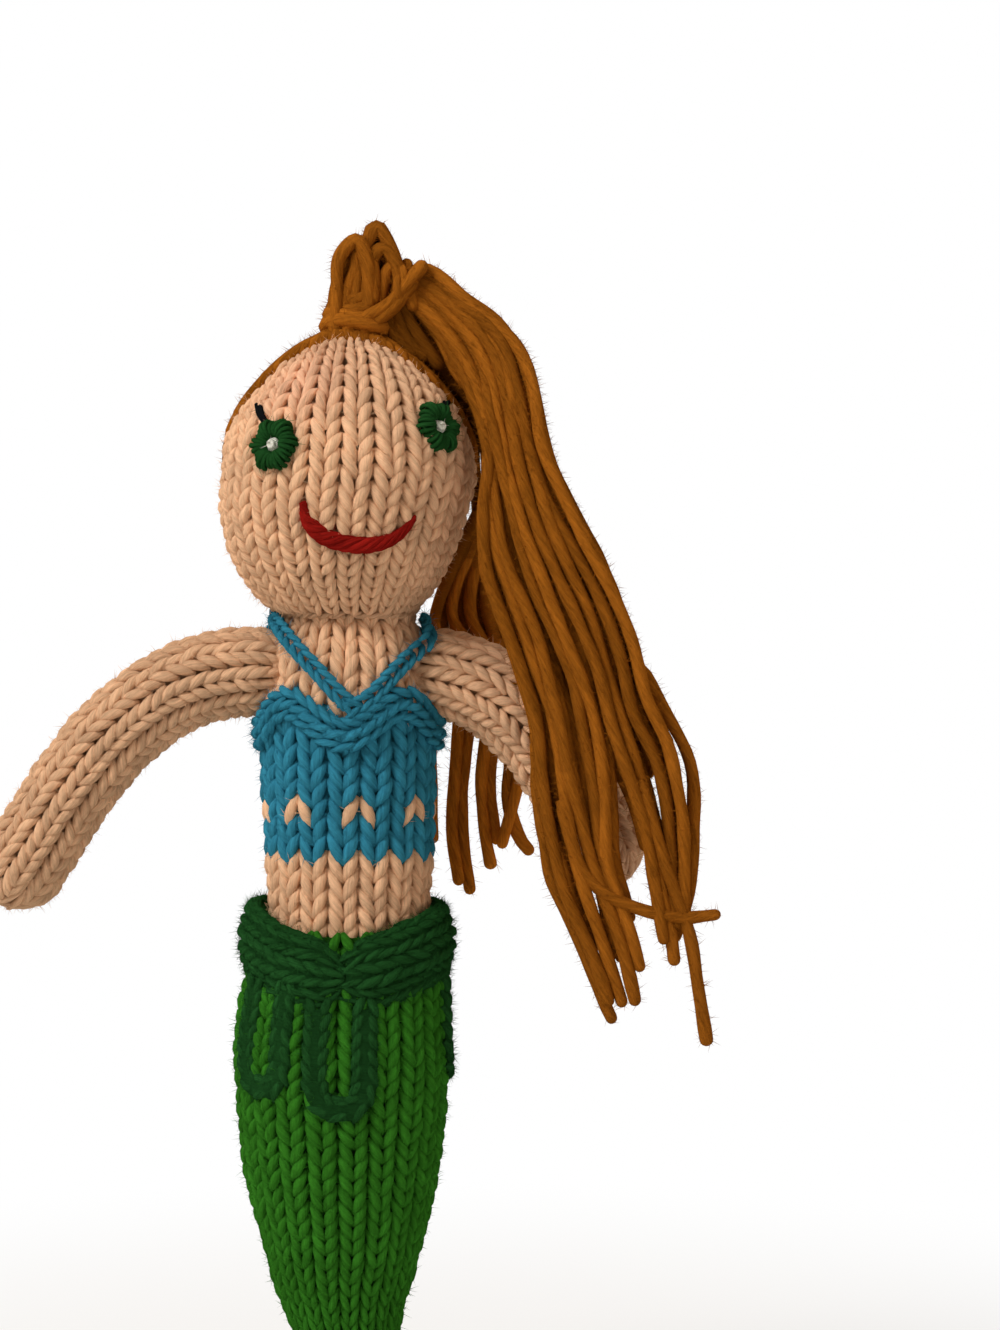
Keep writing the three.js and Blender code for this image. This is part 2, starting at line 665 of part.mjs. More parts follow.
// The ponytail's middle line from the knot, beside the head and over the front of the arm: each place is
// its reach outwards, as a share of the ponytail's length, its share of the drape, and its share of the fall
const drape = armRadius + clearance + lockDepthPitch + drapeGap;
const ponytailRoute = [
  [0, 0, 0], [0.079, 0.12, 0.053], [0.158, 0.41, 0.143], [0.191, 0.64, 0.275], [0.23, 0.88, 0.433],
  [0.281, 1, 0.599], [0.327, 1, 0.743], [0.353, 1, 0.888], [0.366, 0.94, 1.013],
];
const ponytailLine = new THREE.CatmullRomCurve3(ponytailRoute.map(([out, over, fall]) => (
  knot.clone().add(vector(out * ponytailLength, -over * (drape + knotSetback), -fall * ponytailLength)))));

// How far the ponytail has spread from its root, 0 to 1
const lockSpread = (t) => THREE.MathUtils.smoothstep(t, 0, 0.55);

// One lock keeps its own place across and through the ponytail
function lockCurve(across, layer, share) {
  const points = [];
  const steps = 9;
  for (let i = 0; i <= steps; i += 1) {
    const t = share * (i / steps);
    const along = ponytailLine.getTangentAt(t);
    const outward = vector(-along.z, 0, along.x).normalize();
    const spread = lockSpread(t);
    const point = ponytailLine.getPointAt(t);
    point.addScaledVector(outward, across * THREE.MathUtils.lerp(rootPitch, lockPitch, spread));
    point.y += layer * THREE.MathUtils.lerp(rootPitch * 1.2, lockDepthPitch, spread);
    points.push(point);
  }
  return new THREE.CatmullRomCurve3(points);
}

function addPonytail() {
  const locks = [
    [-2, 0.5, 0.91], [-1, 0.5, 0.98], [0, 0.5, 0.95], [1, 0.5, 0.89], [2, 0.5, 0.84],
    [-2, -0.5, 0.97], [-1, -0.5, 1], [0, -0.5, 0.92], [1, -0.5, 0.96], [2, -0.5, 0.93],
  ];
  locks.forEach(([across, layer, share], i) => {
    const thickness = (t) => {
      const spread = lockSpread(t * share);
      const full = 0.5 * THREE.MathUtils.lerp(rootPitch, lockDepthPitch, spread) - clearance / 2;
      return full * (1 - 0.45 * THREE.MathUtils.smoothstep(t, 0.7, 1));
    };
    const body = limb(lockCurve(across, layer, share), 14, cordSides, thickness);
    addPiece(`ponytail_lock_${i + 1}`, body, yarn.hair);
  });
  const tie = new THREE.TorusGeometry(knotRadius - tieRadius, tieRadius, cordSides, 16);
  const facing = ponytailLine.getTangentAt(0);
  tie.applyQuaternion(new THREE.Quaternion().setFromUnitVectors(vector(0, 0, 1), facing));
  tie.translate(knot.x, knot.y, knot.z);
  addPiece('hair_tie', solid(tie), yarn.hair);
}

// Loose strands that fall behind the head and the arm
function addNapeStrands() {
  const back = chestHalfDepth + napeStrandRadius + drapeGap;
  const ends = [0.12, 0.4, 0.6, 0.76];
  const outward = ponytailLine.getTangentAt(0);
  const upward = vector(-outward.z, 0, outward.x).normalize();
  ends.forEach((endShare, i) => {
    const across = i * napeStrandPitch;
    const root = knot.clone().addScaledVector(outward, rootPitch / 2);
    root.addScaledVector(upward, (i - (ends.length - 1) / 2) * rootPitch * 0.8);
    const line = new THREE.CatmullRomCurve3([
      root.add(vector(0, 1.75 * rootPitch, 0)),
      vector(0.78 * headRadius + across / 2, 0.73 * headRadius, headCentre + (0.94 + 0.03 * i) * crownHeight),
      vector(headRadius + across / 2, 0.91 * headRadius, headCentre + 0.12 * crownHeight),
      vector(0.88 * headRadius + across / 2, back + napeStrandGap, neckHeight + napeStrandGap),
      vector(chestHalfWidth + napeStrandGap + across, back, shoulderHeight - 1.3 * armRadius),
      vector(chestHalfWidth + 2 * napeStrandGap + across, back, endShare * shoulderHeight),
    ]);
    const radiusAt = (t) => {
      const full = THREE.MathUtils.lerp(rootPitch / 2 - clearance, napeStrandRadius, Math.min(1, 6 * t));
      return full * (1 - 0.4 * THREE.MathUtils.smoothstep(t, 0.8, 1));
    };
    addPiece(`nape_strand_${i + 1}`, limb(line, 16, cordSides, radiusAt), yarn.hair);
  });
}

addHead();
addArm('right');
addArm('left');
addTorso();
addDrawstring();
addTail();
addFinLobe('right', -1);
addFinLobe('left', 1);
addEye('right', eyeRightAzimuth, eyeRightHeight, -lashLean);
addEye('left', eyeLeftAzimuth, eyeLeftHeight, lashLean);
addMouth();
addTopCords();
addScaleLoops();
addHairCap();
addTopknot();
addPonytail();
addNapeStrands();

export default doll;
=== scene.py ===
import math
from collections import namedtuple
from random import Random

import bpy
import numpy as np
from bpy.props import FloatProperty, FloatVectorProperty, IntProperty, PointerProperty
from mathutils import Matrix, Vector, noise


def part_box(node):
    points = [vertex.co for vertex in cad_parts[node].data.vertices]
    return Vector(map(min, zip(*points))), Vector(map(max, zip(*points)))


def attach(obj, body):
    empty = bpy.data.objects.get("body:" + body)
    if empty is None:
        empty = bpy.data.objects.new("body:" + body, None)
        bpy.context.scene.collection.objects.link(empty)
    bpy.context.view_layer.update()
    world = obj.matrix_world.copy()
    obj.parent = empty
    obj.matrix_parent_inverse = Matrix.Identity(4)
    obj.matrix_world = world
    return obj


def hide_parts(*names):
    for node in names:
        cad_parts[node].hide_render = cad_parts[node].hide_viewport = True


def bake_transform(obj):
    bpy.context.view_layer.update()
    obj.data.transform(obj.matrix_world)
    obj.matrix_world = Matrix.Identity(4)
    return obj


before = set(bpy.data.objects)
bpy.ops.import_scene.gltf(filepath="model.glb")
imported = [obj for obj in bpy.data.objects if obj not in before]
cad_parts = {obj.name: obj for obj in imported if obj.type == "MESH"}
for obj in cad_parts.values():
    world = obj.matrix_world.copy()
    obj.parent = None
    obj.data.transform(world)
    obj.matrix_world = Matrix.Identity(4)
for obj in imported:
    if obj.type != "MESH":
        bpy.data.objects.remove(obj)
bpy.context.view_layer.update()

bl_info = {
    "name": "Hand-knitted mermaid doll",
    "version": (1, 0, 0),
    "blender": (4, 5, 0),
    "location": "View3D > Sidebar > Doll",
    "description": "Knits, stuffs and dresses a mermaid doll over its packed frame, stitch by stitch",
    "category": "Add Mesh",
}

MM = 0.001
HEAD_LOW, HEAD_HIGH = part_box("head_cover")
FIN_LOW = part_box("fin_lobe_right")[0]

# The camera, and the frame whose pixels the routes below are written in
CAMERA_PLACE = (33.2 * MM, -550 * MM, 51.7 * MM)
PICTURE = (1000, 1330)
PICTURE_HEIGHT = 292.6 * MM

# A set seed, so that lumps and wanders come out the same in every run
WANDER_SEED = 3
noise.seed_set(WANDER_SEED)


# Sizes and colours that a user may change

def srgb(red, green, blue):
    """A colour written from 0 to 255 as the linear colour that the renderer takes"""
    parts = [c / 255 for c in (red, green, blue)]
    return tuple(c / 12.92 if c <= 0.04045 else ((c + 0.055) / 1.055) ** 2.4 for c in parts)


def colour(label, words, value):
    """A colour that a user may change"""
    return FloatVectorProperty(name=label, description=words, subtype="COLOR", size=3, min=0, max=1,
                               default=srgb(*value))


def length(label, words, value):
    """A length that a user may change, given in millimetres"""
    return FloatProperty(name=label, description=words, default=value * MM, min=0, unit="LENGTH", precision=4)


def columns(label, words, value, least):
    """A count of columns of stitches that a user may change"""
    return IntProperty(name=label, description=f"Columns of stitches round {words}", default=value, min=least)


class DollColours(bpy.types.PropertyGroup):
    """Colours of the yarns and of the floor"""
    skin: colour("Skin", "Yarn of the head, arms and body", (237, 190, 150))
    blue: colour("Top", "Yarn of the top, its straps and its trim", (52, 132, 158))
    green: colour("Tail", "Yarn of the tail", (51, 116, 32))
    dark_green: colour("Band", "Yarn of the band, fins, scale loops and eyes", (33, 78, 36))
    hair: colour("Hair", "Yarn of the hair", (150, 88, 24))
    red: colour("Mouth", "Yarn of the mouth", (146, 28, 22))
    white: colour("Eye knot", "Yarn of the knot in each eye", (250, 250, 236))
    black: colour("Lash", "Thread of the lashes", (22, 24, 26))
    floor: colour("Floor", "Pale floor", (238, 238, 236))


class DollSizes(bpy.types.PropertyGroup):
    """Sizes of the yarn and counts of the stitches"""
    stitch_width: length("Stitch width", "Width of a stitch before it is drawn to its place", 7.0)
    row_height: length("Row height", "Height of a row before it is drawn to its place", 3.5)
    yarn_radius: length("Yarn radius", "Radius of the knitting yarn", 1.28)
    hair_radius: length("Hair radius", "Radius of a strand of hair", 1.45)
    fuzz_length: length("Fuzz length", "Length of the loose fibres on the wool", 1.9)
    fuzz_density: FloatProperty(name="Fuzz", description="Loose fibres on a square millimetre", default=0.3,
                                min=0)
    head_wales: columns("Head wales", "the head", 24, 8)
    torso_wales: columns("Torso wales", "the body", 16, 8)
    arm_wales: columns("Arm wales", "an arm", 9, 5)
    tail_wales: columns("Tail wales", "the tail", 20, 8)


def sizes():
    """Sizes in use"""
    return bpy.context.scene.doll_sizes


def colours():
    """Colours in use"""
    return bpy.context.scene.doll_colours


def seen_at(across, down, depth):
    """The place, at a depth in metres, that shows at a pixel of the frame"""
    reach = (depth - CAMERA_PLACE[1]) / -CAMERA_PLACE[1]
    pixel = PICTURE_HEIGHT / PICTURE[1] * reach
    x = CAMERA_PLACE[0] + (across - PICTURE[0] / 2) * pixel
    z = CAMERA_PLACE[2] + (PICTURE[1] / 2 - down) * pixel
    return (x, depth, z)


def route_at(pixels, depth):
    """The places of a route of pixels, all at one depth in metres"""
    return [seen_at(across, down, depth) for across, down in pixels]


# Nodes

class Nodes:
    """Places and links the nodes of one tree"""

    def __init__(self, tree):
        self.tree = tree

    def add(self, kind, settings=None, **inputs):
        """A new node with its settings, and with the inputs that are given by name"""
        node = self.tree.nodes.new(kind)
        for key, value in (settings or {}).items():
            setattr(node, key, value)
        for key, value in inputs.items():
            self.feed(node, key.replace("_", " "), value)
        return node

    def feed(self, node, name, value):
        """Gives a named input of a node its value"""
        self.put(next(s for s in node.inputs if s.name == name and s.enabled), value)

    def put(self, socket, value):
        """Links a socket to another one, or sets it to a plain value"""
        if isinstance(value, bpy.types.NodeSocket):
            self.tree.links.new(value, socket)
        else:
            socket.default_value = value

    def work(self, kind, operation, values):
        """A node that works on its inputs in their order"""
        node = self.add(kind, {"operation": operation})
        for socket, value in zip(node.inputs, values):
            self.put(socket, value)
        return node

    def number(self, operation, *values):
        """The result of work on numbers"""
        return self.work("ShaderNodeMath", operation, values).outputs["Value"]

    def vector(self, operation, *values):
        """The vector that work on vectors gives"""
        return self.work("ShaderNodeVectorMath", operation, values).outputs["Vector"]

    def measure(self, operation, *values):
        """The number that work on vectors gives"""
        return self.work("ShaderNodeVectorMath", operation, values).outputs["Value"]

    def scaled(self, vector, by):
        """A vector times a number"""
        node = self.add("ShaderNodeVectorMath", {"operation": "SCALE"}, Vector=vector, Scale=by)
        return node.outputs["Vector"]

    def ramp(self, value, span, result, **settings):
        """A number carried from one range to another"""
        node = self.add("ShaderNodeMapRange", settings, Value=value, From_Min=span[0], From_Max=span[1],
                        To_Min=result[0], To_Max=result[1])
        return node.outputs["Result"]


# Yarn materials

FIBRE_GRAIN = (1250, 1250, 140)
STITCH_SHIFT = (0.31, 0.17, 0.53)
NOISE_SPAN = (0.3, 0.7)
DYE_RANGE = (0.92, 1.08)
BROW_BLUSH = {"spot": (-12 * MM, -22 * MM, 117 * MM), "tone": (1.06, 0.97, 1.04), "reach": 22 * MM}


class Shader(Nodes):
    """The nodes of one material"""

    def __init__(self, name):
        self.material = bpy.data.materials.new(name)
        self.material.use_nodes = True
        super().__init__(self.material.node_tree)
        self.surface = self.tree.nodes["Principled BSDF"]

    def dress(self, looks):
        """Gives the surface its looks"""
        for name, value in looks.items():
            self.feed(self.surface, name, value)


def wool(name, tone, twist=420.0, contrast=0.5, blush=None):
    """Fuzzy spun wool: fibres that run along the yarn and wind round it, and uneven dye.
    The yarn attribute holds a place along and across the straightened yarn, and shade how light it is."""
    s = Shader(name)
    yarn = s.add("ShaderNodeAttribute", {"attribute_name": "yarn"}).outputs["Vector"]
    shade = s.add("ShaderNodeAttribute", {"attribute_name": "shade"}).outputs["Fac"]
    place = s.add("ShaderNodeTexCoord").outputs["Object"]
    run = s.add("ShaderNodeSeparateXYZ", Vector=yarn).outputs["Z"]
    wound = s.add("ShaderNodeVectorRotate", {"rotation_type": "Z_AXIS"}, Vector=yarn,
                  Angle=s.number("MULTIPLY", run, twist))
    apart = s.vector("ADD", wound.outputs["Vector"], s.scaled(STITCH_SHIFT, shade))
    grain = s.vector("MULTIPLY", apart, FIBRE_GRAIN)
    fibres = s.add("ShaderNodeTexNoise", Vector=grain, Scale=1.0, Detail=5.0, Roughness=0.8).outputs["Fac"]
    dye = s.add("ShaderNodeTexNoise", Vector=place, Scale=120.0, Detail=2.0).outputs["Fac"]
    streak = s.ramp(fibres, NOISE_SPAN, (1 - 0.6 * contrast, 1 + 0.8 * contrast))
    uneven = s.ramp(dye, NOISE_SPAN, DYE_RANGE)
    light = s.number("MULTIPLY", s.number("MULTIPLY", streak, uneven), shade)
    paint = s.scaled(tone, light)
    if blush:
        paint = blushed(s, place, paint, **blush)
    bump = s.add("ShaderNodeBump", Height=fibres, Strength=1.0, Distance=0.9 * MM)
    s.dress({"Base Color": paint, "Normal": bump.outputs["Normal"], "Roughness": 0.92,
             "Specular IOR Level": 0.0, "IOR": 1.0})
    return s.material


def blushed(s, place, paint, spot, tone, reach):
    """The paint with a patch of another tone in the dye, round a place on the piece"""
    away = s.measure("DISTANCE", place, spot)
    fade = s.ramp(away, (0.0, reach), (1.0, 0.0), interpolation_type="SMOOTHSTEP")
    toned = s.vector("MULTIPLY", paint, tone)
    mix = s.add("ShaderNodeMix", {"data_type": "VECTOR"}, Factor=fade, A=paint, B=toned)
    return next(o for o in mix.outputs if o.enabled)


def yarn_of(slot):
    """The wool of a material slot, made once"""
    name = f"{slot}_wool"
    found = bpy.data.materials.get(name)
    if found:
        return found
    tones = colours()
    looks = {
        "skin_yarn": (tones.skin, {"contrast": 0.42, "blush": BROW_BLUSH}),
        "blue_yarn": (tones.blue, {}),
        "green_yarn": (tones.green, {}),
        "dark_green_yarn": (tones.dark_green, {"contrast": 0.6}),
        "hair_yarn": (tones.hair, {"twist": 190.0, "contrast": 0.6}),
        "red_yarn": (tones.red, {"twist": 150.0, "contrast": 0.6}),
        "white_yarn": (tones.white, {}),
        "black_thread": (tones.black, {}),
    }
    tone, finish = looks[slot]
    return wool(name, tone, **finish)


# Geometry node trees

WOOL_INPUTS = [("Yarn", "Material"), ("Second yarn", "Material"), ("Fuzz density", "Float"),
               ("Fuzz length", "Float"), ("Seed", "Int")]
FIBRE_RADIUS = 0.055 * MM
FIBRE_LEAN = 0.9
FIBRE_SIZES = (0.35, 1.3)

# One leg of a stitch, in shares of the stitch's width, the row's height and the yarn's radius
LEG_LINE = [(0.06, 0.84, -0.8), (0.27, 0.06, 1.35), (0.43, -0.84, -0.8)]
LEG_STEPS = 5
LEG_SIDES = 7
LEG_END_GIRTH = 0.58
LEG_SWELL = 0.42
STRAND_GRAIN = 1.4 * MM


class Bench(Nodes):
    """The nodes of one tree that makes wool"""

    def __init__(self, name, sockets):
        super().__init__(bpy.data.node_groups.new(name, "GeometryNodeTree"))
        face = self.tree.interface
        face.new_socket("Geometry", in_out="OUTPUT", socket_type="NodeSocketGeometry")
        for label, kind in [("Geometry", "Geometry"), *sockets, *WOOL_INPUTS]:
            face.new_socket(label, in_out="INPUT", socket_type=f"NodeSocket{kind}")
        self.given = self.tree.nodes.new("NodeGroupInput").outputs
        self.result = self.tree.nodes.new("NodeGroupOutput")

    def named(self, name, kind):
        """An attribute of the net"""
        node = self.add("GeometryNodeInputNamedAttribute", {"data_type": kind}, Name=name)
        return node.outputs["Attribute"]

    def capture(self, geometry, kind, value):
        """Geometry that keeps a value through the next steps, and that value"""
        node = self.add("GeometryNodeCaptureAttribute", Geometry=geometry)
        node.capture_items.new(kind, "Kept")
        self.tree.links.new(value, node.inputs["Kept"])
        return node.outputs["Geometry"], node.outputs["Kept"]

    def join(self, *parts):
        """Parts joined into one geometry, in their order"""
        node = self.tree.nodes.new("GeometryNodeJoinGeometry")
        for part in reversed(parts):
            self.tree.links.new(part, node.inputs["Geometry"])
        return node.outputs["Geometry"]

    def realized(self, instances):
        """Instances made into real geometry"""
        node = self.add("GeometryNodeRealizeInstances", Geometry=instances.outputs["Instances"])
        return node.outputs["Geometry"]

    def tube(self, line, sides, radius, swell, thick=1.0):
        """A tube round a line that remembers where each point is on the straightened yarn, in metres"""
        run = self.add("GeometryNodeSplineParameter").outputs["Length"]
        line, along = self.capture(line, "FLOAT", run)
        rim = self.add("GeometryNodeCurvePrimitiveCircle", {"mode": "RADIUS"}, Resolution=sides,
                       Radius=radius)
        spot = self.add("GeometryNodeInputPosition").outputs["Position"]
        rim, across = self.capture(rim.outputs["Curve"], "VECTOR", spot)
        mesh = self.add("GeometryNodeCurveToMesh", Curve=line, Profile_Curve=rim, Scale=swell, Fill_Caps=True)
        split = self.add("ShaderNodeSeparateXYZ", Vector=self.scaled(across, thick))
        place = self.add("ShaderNodeCombineXYZ", X=split.outputs["X"], Y=split.outputs["Y"], Z=along)
        kept = self.add("GeometryNodeStoreNamedAttribute", {"data_type": "FLOAT_VECTOR", "domain": "POINT"},
                        Geometry=mesh.outputs["Mesh"], Name="yarn", Value=place.outputs["Vector"])
        return kept.outputs["Geometry"]

    def fuzz(self, wool_mesh):
        """Loose fibres that stand off the wool at random"""
        seed = self.given["Seed"]
        spots = self.add("GeometryNodeDistributePointsOnFaces", {"distribute_method": "RANDOM"},
                         Mesh=wool_mesh, Density=self.given["Fuzz density"], Seed=seed)
        fibre = self.add("GeometryNodeMeshCone", {"fill_type": "NGON"}, Vertices=3, Radius_Top=0.0,
                         Radius_Bottom=FIBRE_RADIUS, Depth=self.given["Fuzz length"])
        lean = self.add("FunctionNodeRandomValue", {"data_type": "FLOAT_VECTOR"}, Seed=seed,
                        Min=(-FIBRE_LEAN, -FIBRE_LEAN, 0), Max=(FIBRE_LEAN, FIBRE_LEAN, math.tau))
        euler = self.add("FunctionNodeEulerToRotation", Euler=lean.outputs[0])
        facing = self.add("FunctionNodeRotateRotation", {"rotation_space": "LOCAL"},
                          Rotation=spots.outputs["Rotation"], Rotate_By=euler.outputs["Rotation"])
        size = self.add("FunctionNodeRandomValue", {"data_type": "FLOAT"}, Seed=seed, Min=FIBRE_SIZES[0],
                        Max=FIBRE_SIZES[1])
        grown = next(o for o in size.outputs if o.enabled)
        fibres = self.add("GeometryNodeInstanceOnPoints", Points=spots.outputs["Points"],
                          Instance=fibre.outputs["Mesh"], Rotation=facing.outputs["Rotation"], Scale=grown)
        return self.realized(fibres)

    def finish(self, geometry):
        """Smooth wool with its fuzz, in the first yarn or, where the net says so, in the second"""
        smooth = self.add("GeometryNodeSetShadeSmooth", Geometry=self.join(geometry, self.fuzz(geometry)))
        first = self.add("GeometryNodeSetMaterial", Geometry=smooth.outputs["Geometry"],
                         Material=self.given["Yarn"])
        other = self.number("GREATER_THAN", self.named("second", "FLOAT"), 0.5)
        last = self.add("GeometryNodeSetMaterial", Geometry=first.outputs["Geometry"], Selection=other,
                        Material=self.given["Second yarn"])
        self.tree.links.new(last.outputs["Geometry"], self.result.inputs["Geometry"])
        return self.tree


def knit_tree():
    """Sets one stitch of two plump legs on every point of a net"""
    b = Bench("knit_tree", [("Stitch width", "Float"), ("Row height", "Float"), ("Yarn radius", "Float")])
    radius = b.given["Yarn radius"]
    scale = b.add("ShaderNodeCombineXYZ", X=b.given["Stitch width"], Y=b.given["Row height"], Z=radius)
    legs = []
    for side in (-1, 1):
        points = [(side * x, y, z) for x, y, z in LEG_LINE]
        start, middle, end = [b.vector("MULTIPLY", point, scale.outputs["Vector"]) for point in points]
        line = b.add("GeometryNodeCurveQuadraticBezier", Resolution=LEG_STEPS, Start=start, Middle=middle,
                     End=end)
        part = b.add("GeometryNodeSplineParameter").outputs["Factor"]
        arch = b.number("SINE", b.number("MULTIPLY", part, math.pi))
        swell = b.number("ADD", b.number("MULTIPLY", arch, LEG_SWELL), LEG_END_GIRTH)
        legs.append(b.tube(line.outputs["Curve"], LEG_SIDES, radius, swell))
    turn = b.add("FunctionNodeAxesToRotation", {"primary_axis": "Z", "secondary_axis": "Y"},
                 Primary_Axis=b.named("out", "FLOAT_VECTOR"), Secondary_Axis=b.named("up", "FLOAT_VECTOR"))
    stitches = b.add("GeometryNodeInstanceOnPoints", Points=b.given["Geometry"], Instance=b.join(*legs),
                     Rotation=turn.outputs["Rotation"], Scale=b.named("size", "FLOAT_VECTOR"))
    return b.finish(b.realized(stitches))


def strand_tree():
    """Draws a strand of yarn along every line of a net"""
    b = Bench("strand_tree", [("Sides", "Int")])
    line = b.add("GeometryNodeMeshToCurve", Mesh=b.given["Geometry"])
    girth = b.named("girth", "FLOAT")
    return b.finish(b.tube(line.outputs["Curve"], b.given["Sides"], 1.0, girth, STRAND_GRAIN))


def grow(name, net, tree_maker, settings):
    """Runs a tree over a net and returns the plain mesh that comes out"""
    tree = bpy.data.node_groups.get(tree_maker.__name__) or tree_maker()
    stand = bpy.data.objects.new(name, net)
    bpy.context.scene.collection.objects.link(stand)
    modifier = stand.modifiers.new("yarn", "NODES")
    modifier.node_group = tree
    sockets = {item.name: item.identifier for item in tree.interface.items_tree if item.in_out == "INPUT"}
    for label, value in settings.items():
        modifier[sockets[label]] = value
    view = bpy.context.evaluated_depsgraph_get()
    mesh = bpy.data.meshes.new_from_object(stand.evaluated_get(view), preserve_all_data_layers=True,
                                           depsgraph=view)
    bpy.data.objects.remove(stand)
    if not mesh.polygons:
        raise RuntimeError(f"{name} came out empty")
    mesh.name = name
    return mesh


def wool_settings(slot, second, fuzz, seed):
    """Inputs that every tree of wool takes"""
    s = sizes()
    return {"Yarn": yarn_of(slot), "Second yarn": yarn_of(second or slot), "Seed": seed,
            "Fuzz density": s.fuzz_density * fuzz / MM ** 2, "Fuzz length": s.fuzz_length}


# Forms and nets

Stitch = namedtuple("Stitch", "spot out up width height shade yarn")
LUMPS_PER_METRE = 55
WANDERS_PER_METRE = 42
SLUBS_PER_METRE = 150
SLUB = 0.2
SHADE_SPREAD = 0.05
WOBBLE = 0.05
SINK_SPREAD = 0.12 * MM
STRAND_SHADES = (0.7, 1.15)

# The round end of a strand: how far each ring lies past the end, and how thick it is, in shares of the girth
CAP_REACH = (0.45, 0.75, 0.95)
CAP_GIRTH = (0.9, 0.66, 0.3)

# Plies wound into a cord, in shares of its radius: how far they lie from its middle and how thick they are
PLY_OFFSET = 0.5
PLY_GIRTH = 0.62
PLY_FRONT = (0.0, -1.0, 0.12)


def smooth_line(points, count):
    """Evenly spaced points on a smooth line through the given ones"""
    given = np.array(points, float)
    ends = np.vstack([2 * given[0] - given[1], given, 2 * given[-1] - given[-2]])
    t = np.linspace(0, 1, 16, endpoint=False)[:, None]
    runs = []
    for a, b, c, d in zip(ends, ends[1:], ends[2:], ends[3:]):
        square = (2 * a - 5 * b + 4 * c - d) * t ** 2
        cube = (3 * b - a - 3 * c + d) * t ** 3
        runs.append(0.5 * (2 * b + (c - a) * t + square + cube))
    dense = np.vstack([*runs, given[-1:]])
    steps = run_along(dense)
    wanted = np.linspace(0, steps[-1], count)
    return np.column_stack([np.interp(wanted, steps, column) for column in dense.T])


def run_along(points):
    """How far along a line of points each one lies"""
    return np.concatenate([[0], np.cumsum(np.linalg.norm(np.diff(points, axis=0), axis=1))])


def line_length(points):
    """Length of a line of points"""
    return float(np.linalg.norm(np.diff(np.array(points, float), axis=0), axis=1).sum())


def lumpy(place, reach=0.5 * MM):
    """The same form with the gentle lumps that stuffing leaves"""
    def moved(u, v):
        spot = place(u, v)
        return spot + noise.noise_vector(spot * LUMPS_PER_METRE) * reach
    return moved


def frame_at(place, u, v, step):
    """The way across, up and out of a form at a place on it"""
    small = 1e-3
    across = (place(u + small, v) - place(u - small, v)) / (2 * small)
    up = (place(u, v + step * small) - place(u, v - step * small)) / (2 * small)
    out = across.cross(up)
    return across, up, out.normalized()


def knit(place, wales, rows, step, seed, turn=0.0, sink=1.3 * MM, pick=None, tone=1.0):
    """Rows and columns of stitches over a form; pick gives the yarn of a stitch, or None to leave it out. A
    tone under 1 darkens the stitches as painted shade
    """
    chance = Random(seed)
    stitches = []
    for v in rows:
        for k in range(wales):
            u = turn + math.tau * k / wales
            yarn = pick(u, v, k) if pick else 0
            shade = chance.gauss(tone, SHADE_SPREAD)
            wobble = Vector([chance.gauss(0, WOBBLE) for _ in range(3)])
            if yarn is None:
                continue
            across, up, out = frame_at(place, u, v, step)
            spot = place(u, v) - out * (sink + chance.gauss(0, SINK_SPREAD))
            width = across.length * math.tau / wales
            facing = (out + wobble).normalized()
            stitches.append(Stitch(spot, facing, up.normalized() + wobble, width, up.length, shade, yarn))
    return stitches


def chain(line, facing, width, pitch, seed, sink=0.0):
    """One column of stitches along a line, for a cord or a row of chain stitch"""
    chance = Random(seed)
    count = max(4, round(line_length(line) / pitch))
    spots = smooth_line(line, count)
    outs = smooth_line(facing, count)
    ways = np.gradient(spots, axis=0)
    stitches = []
    for spot, out, way in zip(spots, outs, ways):
        out = Vector(out).normalized()
        shade = chance.gauss(1, 0.06)
        stitches.append(Stitch(Vector(spot) - out * sink, out, Vector(way), width, pitch, shade, 0))
    return stitches


def mark(mesh, name, values):
    """Stores a number or a vector for every point of a mesh"""
    values = np.array(values, np.float32)
    kind, key = ("FLOAT_VECTOR", "vector") if values.ndim > 1 else ("FLOAT", "value")
    mesh.attributes.new(name, kind, "POINT").data.foreach_set(key, values.ravel())


def knitted(name, stitches, slot, second=None, fuzz=1.0, seed=1):
    """A knitted mesh from its stitches"""
    s = sizes()
    net = bpy.data.meshes.new("net")
    net.from_pydata([stitch.spot for stitch in stitches], [], [])
    mark(net, "out", [stitch.out for stitch in stitches])
    mark(net, "up", [stitch.up for stitch in stitches])
    mark(net, "size", [(stitch.width / s.stitch_width, stitch.height / s.row_height,
                        min(1.0, 0.3 + 0.7 * stitch.width / s.stitch_width)) for stitch in stitches])
    mark(net, "shade", [stitch.shade for stitch in stitches])
    mark(net, "second", [stitch.yarn for stitch in stitches])
    settings = {"Stitch width": s.stitch_width, "Row height": s.row_height, "Yarn radius": s.yarn_radius}
    return grow(name, net, knit_tree, settings | wool_settings(slot, second, fuzz, seed))


